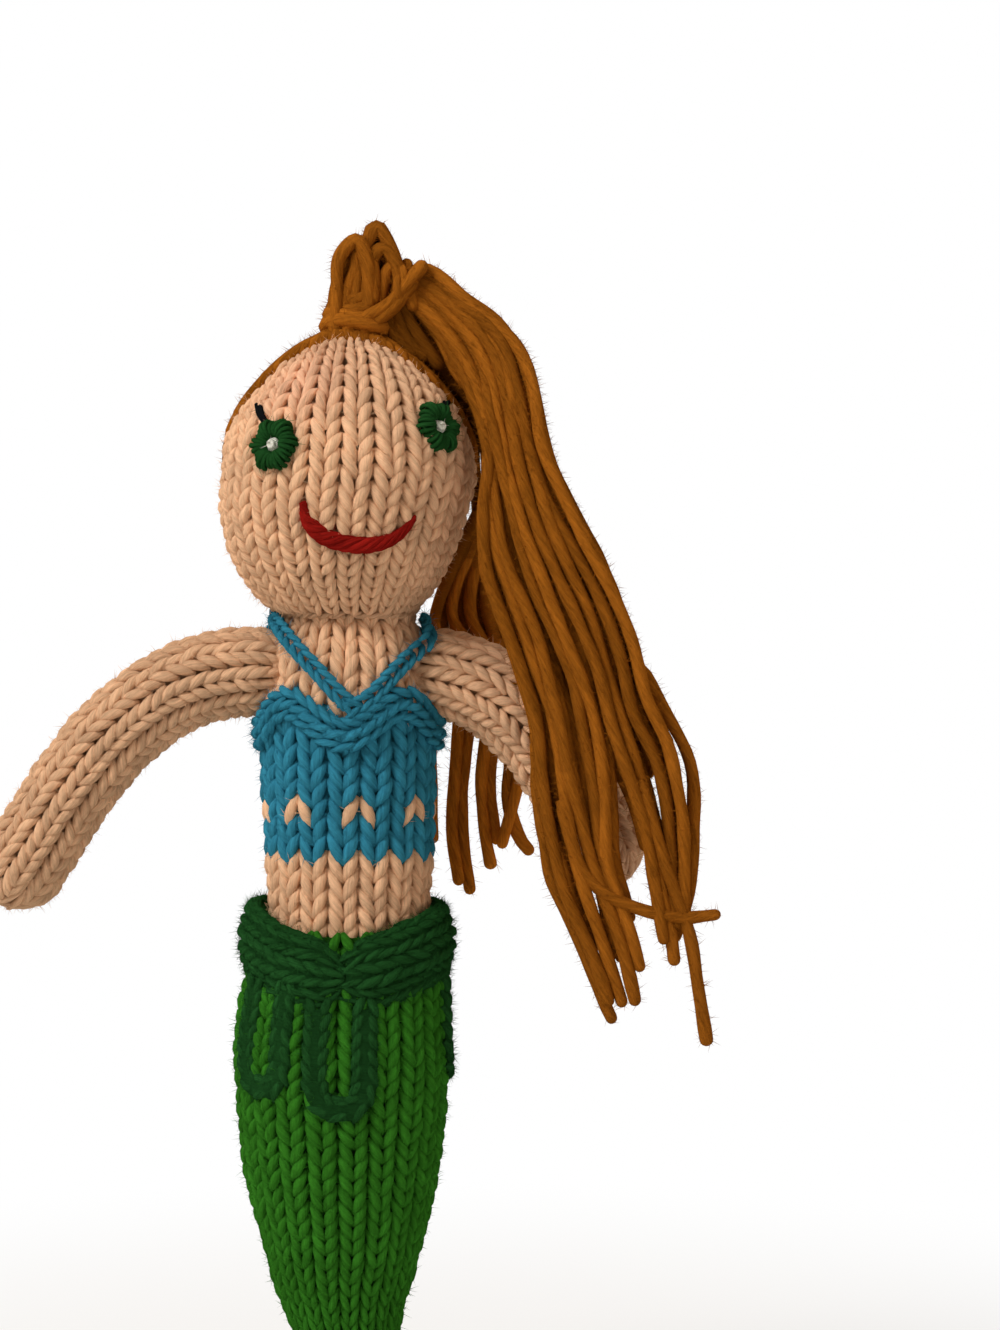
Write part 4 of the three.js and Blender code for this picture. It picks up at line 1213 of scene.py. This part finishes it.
class DOLL_OT_waistband(bpy.types.Operator):
    """Knit the rolled band that covers the tail's upper edge"""
    bl_idname = "doll.waistband"
    bl_label = "Waistband"

    def roll(self, u, v):
        """The band's form; u goes round the roll and v round the waist, from the notch in front"""
        turn = BAND_GAP + v * (math.tau - 2 * BAND_GAP)
        drop = BAND_LEVEL + BAND_DIP * max(0.0, math.cos(turn)) ** 2
        notch = 1 - NOTCH_DEPTH * math.exp(-((min(turn, math.tau - turn) / NOTCH_REACH) ** 2))
        radius = BAND_RADIUS + BAND_HALF_DEPTH * math.cos(u)
        height = BAND_HALF_HEIGHT * notch * math.sin(u) - drop
        x = radius * math.sin(turn) - BAND_SHIFT
        return Vector((x, -radius * TAIL_DEPTH * math.cos(turn), height)) * MM

    def execute(self, context):
        form = lumpy(self.roll, 0.8 * MM)

        def strip(u, v):
            return form(-u, v)

        step = 1 / BAND_ROWS
        rows = [(i + 0.5) * step for i in range(BAND_ROWS)]
        stitches = knit(strip, BAND_WALES, rows, step, seed=91, sink=1.0 * MM)
        parts = stuffed("band", strip, stitches, (0.003, 0.997, 60), step, "dark_green_yarn", seed=91,
                        fuzz=4.0, depth=0.5 * MM, sides=20)
        made = piece("waistband_knit", parts, ["waistband"])
        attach(made, "tail")
        return {"FINISHED"}


class DOLL_OT_scale_loops(bpy.types.Operator):
    """Lay the loops of chain stitch that stand for scales on the tail"""
    bl_idname = "doll.scale_loops"
    bl_label = "Scale loops"

    def loop(self, degrees):
        """The line of a loop that hangs from the band at an angle, and the ways out of the tail along it"""
        line, facing = [], []
        top = LOOP_LEVEL - LOOP_DIP * max(0.0, math.cos(math.radians(degrees))) ** 3
        for share in np.linspace(-1, 1, 25):
            height = top - LOOP_LENGTH * (1 - abs(share) ** 3.4)
            width = LOOP_WIDTH * math.copysign(min(1, 1.5 * abs(share)) ** 0.8, share)
            turn = math.radians(degrees) + width / 2 / TAIL_WIDEST
            radius = (tail_outline_at(height) + LOOP_LIFT) * MM
            x = radius * math.sin(turn) + tail_lean(height)
            line.append(Vector((x, -radius * TAIL_DEPTH * math.cos(turn), height * MM)))
            facing.append(Vector((math.sin(turn), -math.cos(turn) / TAIL_DEPTH, 0)).normalized())
        return line, facing

    def felted_bed(self, line, facing):
        """The felted wool between the legs of a loop's stitches"""
        spots = smooth_line(line, BED_STEPS)
        outs = smooth_line(facing, BED_STEPS)
        ways = np.gradient(spots, axis=0)
        shares = np.linspace(0, 1, BED_STEPS)

        def at(values, v):
            return Vector([np.interp(v, shares, values[:, axis]) for axis in range(3)])

        def place(u, v):
            out = at(outs, v).normalized()
            side = out.cross(at(ways, v)).normalized()
            middle = at(spots, v) - out * (LOOP_SINK * MM)
            return middle + side * BED_HALF_WIDTH * math.cos(u) + out * BED_HALF_DEPTH * math.sin(u)

        rings = np.linspace(0.01, 0.99, BED_RINGS)
        # The bed is drawn a little darker than its yarn, as slight painted shade between the legs
        return padding("loop_bed", place, rings, 1 / BED_RINGS, "dark_green_yarn", depth=0.0, sides=14,
                       dim=0.95)

    def execute(self, context):
        for i, degrees in enumerate(LOOP_TURNS):
            line, facing = self.loop(degrees)
            stitches = chain(line, facing, width=5.8 * MM, pitch=3.2 * MM, seed=95 + i, sink=LOOP_SINK * MM)
            cord = knitted("loop", stitches, "dark_green_yarn", fuzz=4.0, seed=95 + i)
            made = piece(f"scale_loop_{i + 1}_chain", [cord, self.felted_bed(line, facing)],
                         [f"scale_loop_{i + 1}"])
            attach(made, "tail")
        return {"FINISHED"}


# Hair, with its routes in pixels of the frame and depths in millimetres

KNOT = np.array((10.5, 1.0, 134.2)) * MM
TIE_HALF_SIZE = (1.6, 6.4, 6.0)
TIE_SHIFT = 0.6

# Hairline: degrees from the front, and millimetres over the head's middle
HAIRLINE = ([0, 40, 58, 68, 76, 84, 92, 110, 180], [30.6, 30.0, 27.6, 23, 16, 9, 3, -6, -20])
CAP_MIDDLE = (1.5 * MM, 1.0 * MM)
CAP_STRANDS = 76
CAP_LIFT = 0.5 * MM
CAP_OVERLAP = 0.5 * MM
CAP_RISE_AT_KNOT = 2.2 * MM
CAP_ROOT_SUNK = 1.2 * MM
CAP_THINNING = ([0, 0.55, 1], [1, 0.95, 0.55])

# Topknot: loops that stand up, two strands laid across them, and strands that lead to the ponytail, darkened
# as painted shade
TOPKNOT_LOOPS = [
    [(337, 338), (338, 300), (341, 265), (350, 243), (362, 245), (368, 268), (372, 305)],
    [(345, 338), (348, 300), (352, 268), (359, 251), (368, 262), (374, 300)],
    [(354, 338), (359, 290), (366, 250), (375, 228), (384, 234), (392, 262), (398, 296)],
    [(366, 338), (368, 300), (373, 262), (382, 246), (394, 262), (404, 290)],
    [(378, 336), (381, 305), (388, 272), (398, 268), (408, 288), (414, 306)],
    [(343, 330), (360, 322), (382, 306), (404, 284), (424, 266)],
    [(352, 336), (374, 326), (396, 308), (416, 286)],
]
TOPKNOT_FIRST_ACROSS = 5
TOPKNOT_DEPTHS = (-4.2, -2.2, 0.0, 2.4, 4.6)
TOPKNOT_IN_FRONT = 2.6
TOPKNOT_ROOTS = [
    [(392, 296), (397, 318), (408, 340), (424, 356)],
    [(397, 290), (406, 314), (420, 338), (438, 364)],
    [(384, 302), (388, 322), (397, 339), (412, 354)],
]
TOPKNOT_ROOT_DEPTHS = (-3, 0, 3, 6)

# Rings of yarn round the topknot: the lowest one's middle and radius, and the change from ring to ring
WIND_MIDDLE = (2.2, 1, 126.2)
WIND_RADIUS = 7.4
WIND_RISE = 1.9
WIND_NARROWING = 0.8

# Ponytail: its two edges, its depth along them, where strands gather near the ends, and its layers from
# front to back, each with its depth, its count of strands and the share of the edges that it reaches
PONYTAIL_OUTSIDE = [(424, 268), (470, 300), (510, 330), (532, 365), (538, 410), (550, 450), (570, 500),
                    (602, 560), (634, 625), (650, 690), (678, 745), (688, 800), (690, 870), (692, 962)]
PONYTAIL_INSIDE = [(404, 300), (432, 328), (458, 372), (468, 440), (474, 520), (484, 580), (514, 670),
                   (534, 740), (536, 800), (548, 870), (572, 930), (598, 985), (610, 1014)]
PONYTAIL_DEPTH = ([0, 0.08, 0.16, 0.26, 0.4, 0.52, 1.0], [0, -3, -7.5, -12.5, -16.5, -17.6, -17.6])
PONYTAIL_CLUSTERS = ([0, 0.19, 0.2, 0.56, 0.57, 1], [0.04, 0.12, 0.27, 0.45, 0.67, 0.97])
GATHER_FROM = 0.7
GATHER_OVER = 0.12
SPREAD_AT_ROOT = 0.35
SPREAD_RATE = 2.2
PONYTAIL_LAYERS = ((-4.4, 9, 0.97), (-1.7, 10, 0.93), (1.0, 10, 0.84), (3.6, 9, 0.74))
EDGE_STEPS = 40
HEAD_ROOM = 7.8 * MM

# Stray strands of the ponytail, each with its depth
STRAYS = [
    (-22.5, [(560, 800), (578, 862), (604, 893), (640, 909), (680, 917), (714, 914)]),
    (-22.5, [(640, 780), (664, 860), (688, 930), (697, 985), (706, 1040)]),
    (-18, [(640, 665), (664, 710), (690, 765), (693, 830), (690, 890), (676, 935)]),
    (-18, [(536, 735), (540, 800), (551, 875), (575, 930), (603, 1000), (611, 1017)]),
]

# Loose strands behind the arm, below the shoulder; the last ones lie further from the head
NAPE_FALLS = [
    [(440, 660), (433, 740), (433, 836)],
    [(458, 680), (456, 780), (453, 830), (459, 880)],
    [(470, 690), (462, 790), (464, 850), (470, 888)],
    [(478, 660), (476, 715)],
    [(487, 700), (480, 780), (484, 830), (490, 862)],
    [(494, 690), (490, 780), (497, 838)],
    [(498, 670), (496, 720)],
    [(510, 700), (508, 790), (518, 832), (528, 848)],
    [(515, 680), (511, 735)],
    [(524, 720), (519, 780), (502, 842)],
    [(535, 700), (533, 750)],
    [(510, 680), (506, 735)],
    [(526, 680), (522, 735)],
    [(540, 700), (538, 755)],
]
NAPE_FIRST_WIDE = 11
NAPE_ROOM = 5.2
NAPE_EXTRA_ROOM = 7.5
NAPE_DEPTH = 20
NAPE_LAYER = 1.8
# Shade along a loose strand: dark near the head as painted shade, and brighter than its yarn lower down as
# painted light
NAPE_PAINTED_SHADE_AND_LIGHT = ([0, 0.3, 0.6], [0.4, 0.45, 1.5])


def clear_of_head(spot):
    """The spot, moved out from the head's middle line where an eye would brush it as the head turns"""
    x, y, z = spot
    room = head_radius_at(z) + HEAD_ROOM
    reach = math.hypot(x, y)
    if HEAD_LOW[2] < z < HEAD_HIGH[2] and reach < room:
        x, y = x * room / reach, y * room / reach
    return (x, y, z)


def ponytail_strand(share, layer, finish, seed):
    """One strand at a share of the way across the ponytail and a layer of its depth"""
    edges = [smooth_line(edge, EDGE_STEPS) for edge in (PONYTAIL_INSIDE, PONYTAIL_OUTSIDE)]
    last = EDGE_STEPS - 1
    points = []
    for i in range(0, EDGE_STEPS, 3):
        t = i / last * finish
        low = min(last - 1, int(t * last))
        part = t * last - low
        inside, outside = [(1 - part) * edge[low] + part * edge[low + 1] for edge in edges]
        gather = min(1.0, max(0.0, (t - GATHER_FROM) / GATHER_OVER))
        beside = share * (1 - gather) + float(np.interp(share, *PONYTAIL_CLUSTERS)) * gather
        across, down = inside * (1 - beside) + outside * beside
        spread = min(1.0, SPREAD_AT_ROOT + SPREAD_RATE * t)
        depth = float(np.interp(t, *PONYTAIL_DEPTH)) + layer * spread
        points.append(clear_of_head(seen_at(across, down, depth * MM)))
    root = KNOT + np.array((-1.0, 0, 0.5 - share)) * 2 * MM
    return strand([root, *points], sizes().hair_radius, seed, wander=1.5 * MM)


class DOLL_OT_ponytail(bpy.types.Operator):
    """Hang the strands of the ponytail from its tied root"""
    bl_idname = "doll.ponytail"
    bl_label = "Ponytail"

    def tie(self):
        """The ring of yarn round the ponytail's root, a little more than one turn"""
        x, y, z = TIE_HALF_SIZE
        ring = []
        for a in np.linspace(0, 2.15 * math.pi, 30):
            spot = np.array((x * math.cos(a) + TIE_SHIFT, y * math.sin(a), z * math.cos(a) - TIE_SHIFT))
            ring.append(KNOT + spot * MM)
        return ring

    def execute(self, context):
        chance = Random(5)
        strands = []
        for layer, count, finish in PONYTAIL_LAYERS:
            for k in range(count):
                share = (k + 0.5) / count + chance.uniform(-0.03, 0.03)
                depth = layer + chance.uniform(-0.5, 0.5)
                end = finish + chance.uniform(-0.04, 0.03)
                strands.append(ponytail_strand(share, depth, end, seed=100 + len(strands)))
        for k, (depth, route) in enumerate(STRAYS):
            line = route_at(route, depth * MM)
            strands.append(strand(line, sizes().hair_radius * 0.95, seed=160 + k, wander=0.4 * MM))
        nodes = [f"ponytail_lock_{k}" for k in range(1, 11)]
        hair = strands_of("ponytail", strands, "hair_yarn", fuzz=2.0, seed=5)
        made = piece("ponytail_strands", [hair], nodes)
        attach(made, "ponytail")
        plies = twisted(self.tie(), radius=1.5 * MM, plies=2, pitch=9 * MM, seed=7)
        cord = strands_of("tie", plies, "hair_yarn", fuzz=0.8, seed=7)
        tie = piece("ponytail_tie", [cord], ["hair_tie"])
        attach(tie, "ponytail")
        return {"FINISHED"}


class DOLL_OT_nape_strands(bpy.types.Operator):
    """Hang the loose strands that fall behind the arm"""
    bl_idname = "doll.nape_strands"
    bl_label = "Loose strands"

    def beside(self, height, back, room):
        """A place beside the head: its height, its way behind the middle line and its room, in millimetres"""
        reach = head_radius_at(height * MM) / MM + room
        return np.array((math.sqrt(max(1.0, reach ** 2 - back ** 2)), back, height)) * MM

    def past_head(self, k, depth):
        """The way of a loose strand from the knot, past the head and down behind the shoulder"""
        out = 1.0 * (k % 4)
        back = 1.5 + 1.6 * k
        room = NAPE_ROOM + 0.6 * out + (NAPE_EXTRA_ROOM if k >= NAPE_FIRST_WIDE else 0)
        return [
            KNOT + np.array((0.5, 1.0, 0.6 - 0.25 * k)) * MM,
            np.array((12.0 + out, back * 0.5, 125.5 + out)) * MM,
            self.beside(117, back * 0.8, room),
            self.beside(106, back, room),
            self.beside(94, back + 3, room),
            np.array((23.7 + 0.7 * k, 0.5 * (back + depth) + 4, 77)) * MM,
            np.array((18.0 + 1.4 * k, depth, 63)) * MM,
        ]

    def execute(self, context):
        strands = []
        for k, fall in enumerate(NAPE_FALLS):
            depth = NAPE_DEPTH + NAPE_LAYER * (k % 3)
            route = [*self.past_head(k, depth), *route_at(fall, depth * MM)]
            line, girth, shade = strand(route, sizes().hair_radius, seed=200 + k, wander=0.7 * MM)
            # Painted shade near the head and painted light further down
            strands.append((line, girth, shade * np.interp(np.linspace(0, 1, len(line)), *NAPE_PAINTED_SHADE_AND_LIGHT)))
        nodes = [f"nape_strand_{k}" for k in range(1, 5)]
        hair = strands_of("nape", strands, "hair_yarn", fuzz=1.3, seed=8)
        made = piece("nape_strands_yarn", [hair], nodes)
        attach(made, "ponytail")
        return {"FINISHED"}


class DOLL_OT_hair_cap(bpy.types.Operator):
    """Lay strands over the crown and the back of the head, all drawn up to the knot"""
    bl_idname = "doll.hair_cap"
    bl_label = "Hair on the head"

    def hairline(self, angle):
        """A place on the hairline, which falls from the brow to the nape, measured from the head's middle"""
        turn = abs((math.degrees(angle) + 180) % 360 - 180)
        rise = float(np.interp(turn, *HAIRLINE)) * MM
        radius = HEAD_RADIUS * math.sqrt(1 - (rise / head_reach(rise)) ** 2)
        return np.array((radius * math.sin(angle), -radius * math.cos(angle), rise))

    def on_head(self, spot):
        """The place on the head's surface under a spot, both from the head's middle"""
        spot = spot / np.linalg.norm(spot / np.array((HEAD_RADIUS, HEAD_RADIUS, CROWN_REACH)))
        if spot[2] < 0:
            spot = spot * np.array((1, 1, CHIN_REACH / CROWN_REACH))
        draw = crown_draw(spot[2] / CROWN_REACH)
        return spot * np.array((draw, draw, 1))

    def execute(self, context):
        middle = np.array((0, 0, HEAD_MIDDLE))
        crown = np.array((*CAP_MIDDLE, HEAD_MIDDLE + CROWN_REACH))
        strands = []
        for k in range(CAP_STRANDS):
            start = self.hairline(math.tau * (k + 0.5) / CAP_STRANDS)
            points = []
            for t in np.linspace(0, 1, 10):
                spot = self.on_head(start * (1 - t) + (crown - middle) * t)
                rise = CAP_LIFT + (CAP_OVERLAP if k % 2 else 0) * t + CAP_RISE_AT_KNOT * t ** 8
                sunk = CAP_ROOT_SUNK if t == 0 else 0.0
                out = spot / np.linalg.norm(spot)
                points.append(spot + out * (rise - sunk) + middle)
            line, girth, shade = strand(points, sizes().hair_radius * 0.8, seed=300 + k, wander=0.3 * MM)
            thin = np.interp(np.linspace(0, 1, len(line)), *CAP_THINNING)
            strands.append((line, girth * thin, shade))
        hair = strands_of("cap", strands, "hair_yarn", fuzz=1.2, seed=12)
        made = piece("hair_cap_strands", [hair], ["hair_cap"])
        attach(made, "head")
        return {"FINISHED"}


class DOLL_OT_topknot(bpy.types.Operator):
    """Wind the topknot and stand its loops up"""
    bl_idname = "doll.topknot"
    bl_label = "Topknot"

    def loops(self):
        """Loops that stand up in rows, with single strands laid across them in front"""
        chance = Random(14)
        strands = []
        for k, loop in enumerate(TOPKNOT_LOOPS):
            across_loops = k >= TOPKNOT_FIRST_ACROSS
            for row, depth in enumerate(TOPKNOT_DEPTHS[:1] if across_loops else TOPKNOT_DEPTHS):
                depth = depth - (TOPKNOT_IN_FRONT if across_loops else 0) + 0.4 * k
                line = []
                for across, down in loop:
                    aside = chance.uniform(-4, 4)
                    drop = chance.uniform(-3, 3)
                    line.append(seen_at(across + aside, down + 3 * row + drop, depth * MM))
                strands.append(strand(line, sizes().hair_radius * 1.05, seed=400 + 7 * k + row,
                                      wander=1.1 * MM, spacing=0.8 * MM))
        return strands

    def roots(self):
        """Strands between the topknot and the ponytail, drawn at half their shade as painted shade"""
        strands = []
        for k, route in enumerate(TOPKNOT_ROOTS):
            for depth in TOPKNOT_ROOT_DEPTHS:
                line = route_at(route, depth * MM)
                line, girth, shade = strand(line, sizes().hair_radius, seed=470 + k + depth)
                # Painted shade: these strands are drawn at half their shade
                strands.append((line, girth, 0.5 * shade))
        return strands

    def winds(self):
        """Rings of yarn that bind the topknot, narrower from one to the next"""
        x, y, z = WIND_MIDDLE
        strands = []
        for k in range(4):
            level = z + WIND_RISE * k
            wide = WIND_RADIUS - WIND_NARROWING * k
            ring = []
            for a in np.linspace(0, 2.05 * math.pi, 24):
                height = level + 0.8 * math.sin(2 * a + k)
                ring.append(np.array((x + wide * math.cos(a), y + wide * 0.95 * math.sin(a), height)) * MM)
            strands.append(strand(ring, sizes().hair_radius * 1.15, seed=450 + k, wander=0.3 * MM))
        return strands

    def execute(self, context):
        strands = self.loops() + self.roots() + self.winds()
        nodes = ["topknot", "topknot_tuft_1", "topknot_tuft_2", "topknot_tuft_3"]
        hair = strands_of("topknot", strands, "hair_yarn", fuzz=1.3, seed=14)
        made = piece("topknot_loops", [hair], nodes)
        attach(made, "head")
        return {"FINISHED"}


# Stage

SENSOR = 36

# Lamps: name, place in metres, power and size
LAMPS = (("key", (-0.66, -0.56, 0.8), 11.9, 0.55),
         ("fill", (0.85, -0.7, 0.35), 1.6, 0.9),
         ("back", (0.2, 0.8, 0.8), 3.0, 0.9))
LAMP_AIM = (0.01, 0, 0.03)
ROOM_LIGHT = (0.36, 0.295, 0.235, 1)
WHITE = (1, 1, 1, 1)
FLOOR_HALF = 6.0
FLOOR_FADE = (0.18, 0.45)


class DOLL_OT_stage(bpy.types.Operator):
    """Set the camera, the soft lights and the pale floor"""
    bl_idname = "doll.stage"
    bl_label = "Stage"

    def execute(self, context):
        scene = context.scene
        scene.view_settings.view_transform = "Standard"
        lens = bpy.data.cameras.new("camera")
        lens.sensor_width = SENSOR
        lens.lens = SENSOR * -CAMERA_PLACE[1] / PICTURE_HEIGHT
        lens.clip_start = 0.01
        camera = bpy.data.objects.new("camera", lens)
        camera.location = CAMERA_PLACE
        camera.rotation_euler = (math.pi / 2, 0, 0)
        scene.collection.objects.link(camera)
        scene.camera = camera
        for lamp in LAMPS:
            self.lamp(scene, *lamp)
        self.world(scene)
        self.floor(scene)
        return {"FINISHED"}

    def lamp(self, scene, name, place, power, size):
        """A broad soft lamp that faces the doll"""
        light = bpy.data.lights.new(name, "AREA")
        light.energy = power
        light.size = size
        lamp = bpy.data.objects.new(name, light)
        lamp.location = place
        lamp.rotation_euler = (Vector(LAMP_AIM) - Vector(place)).to_track_quat("-Z", "Y").to_euler()
        scene.collection.objects.link(lamp)

    def world(self, scene):
        """Even light all round, and white where the camera sees past the floor"""
        scene.world = bpy.data.worlds.new("studio")
        scene.world.use_nodes = True
        w = Nodes(scene.world.node_tree)
        path = w.add("ShaderNodeLightPath").outputs
        seen = w.number("MAXIMUM", path["Is Camera Ray"], path["Is Glossy Ray"])
        level = w.add("ShaderNodeMixRGB", Fac=seen, Color1=ROOM_LIGHT, Color2=WHITE)
        w.feed(w.tree.nodes["Background"], "Color", level.outputs["Color"])

    def floor(self, scene):
        """A wide pale floor under the fins that fades to white and still takes the doll's shadow"""
        half, level = FLOOR_HALF, FIN_LOW[2] - 0.4 * MM
        corners = [(-half, -half, level), (half, -half, level), (half, half, level), (-half, half, level)]
        mesh = bpy.data.meshes.new("floor")
        mesh.from_pydata(corners, [], [(0, 1, 2, 3)])
        floor = bpy.data.objects.new("floor", mesh)
        scene.collection.objects.link(floor)
        s = Shader("pale_floor")
        place = s.add("ShaderNodeTexCoord").outputs["Object"]
        grain = s.add("ShaderNodeTexNoise", Vector=place, Scale=30.0, Detail=3.0)
        bump = s.add("ShaderNodeBump", Height=grain.outputs["Fac"], Strength=0.05, Distance=1 * MM)
        s.dress({"Normal": bump.outputs["Normal"], "Base Color": (*colours().floor, 1), "Roughness": 0.9})
        glow = s.add("ShaderNodeEmission", Color=WHITE, Strength=1.0)
        fade = s.ramp(s.measure("LENGTH", place), FLOOR_FADE, (0.5, 1.0), interpolation_type="SMOOTHSTEP")
        seen = s.add("ShaderNodeLightPath").outputs["Is Camera Ray"]
        mix = s.add("ShaderNodeMixShader")
        parts = (s.number("MULTIPLY", seen, fade), s.surface.outputs["BSDF"], glow.outputs["Emission"])
        for socket, part in zip(mix.inputs, parts):
            s.put(socket, part)
        s.feed(s.tree.nodes["Material Output"], "Surface", mix.outputs["Shader"])
        mesh.materials.append(s.material)


class DOLL_PT_panel(bpy.types.Panel):
    """Lists the sizes, the colours and the steps of making the doll"""
    bl_idname = "DOLL_PT_panel"
    bl_label = "Mermaid doll"
    bl_space_type = "VIEW_3D"
    bl_region_type = "UI"
    bl_category = "Doll"

    def draw(self, context):
        for group in (context.scene.doll_sizes, context.scene.doll_colours):
            for name in group.__annotations__:
                self.layout.prop(group, name)
        for step in STEPS:
            self.layout.operator(step.bl_idname)


STEPS = (DOLL_OT_stage, DOLL_OT_head, DOLL_OT_face, DOLL_OT_torso, DOLL_OT_top_cords, DOLL_OT_arms,
         DOLL_OT_tail, DOLL_OT_fins, DOLL_OT_waistband, DOLL_OT_scale_loops, DOLL_OT_hair_cap,
         DOLL_OT_topknot, DOLL_OT_ponytail, DOLL_OT_nape_strands)
CLASSES = (DollColours, DollSizes, *STEPS, DOLL_PT_panel)


def register():
    for kind in CLASSES:
        bpy.utils.register_class(kind)
    bpy.types.Scene.doll_colours = PointerProperty(type=DollColours)
    bpy.types.Scene.doll_sizes = PointerProperty(type=DollSizes)


def unregister():
    del bpy.types.Scene.doll_sizes
    del bpy.types.Scene.doll_colours
    for kind in reversed(CLASSES):
        bpy.utils.unregister_class(kind)


def main():
    register()
    for step in STEPS:
        group, name = step.bl_idname.split(".")
        getattr(getattr(bpy.ops, group), name)()


if __name__ == "__main__":
    main()
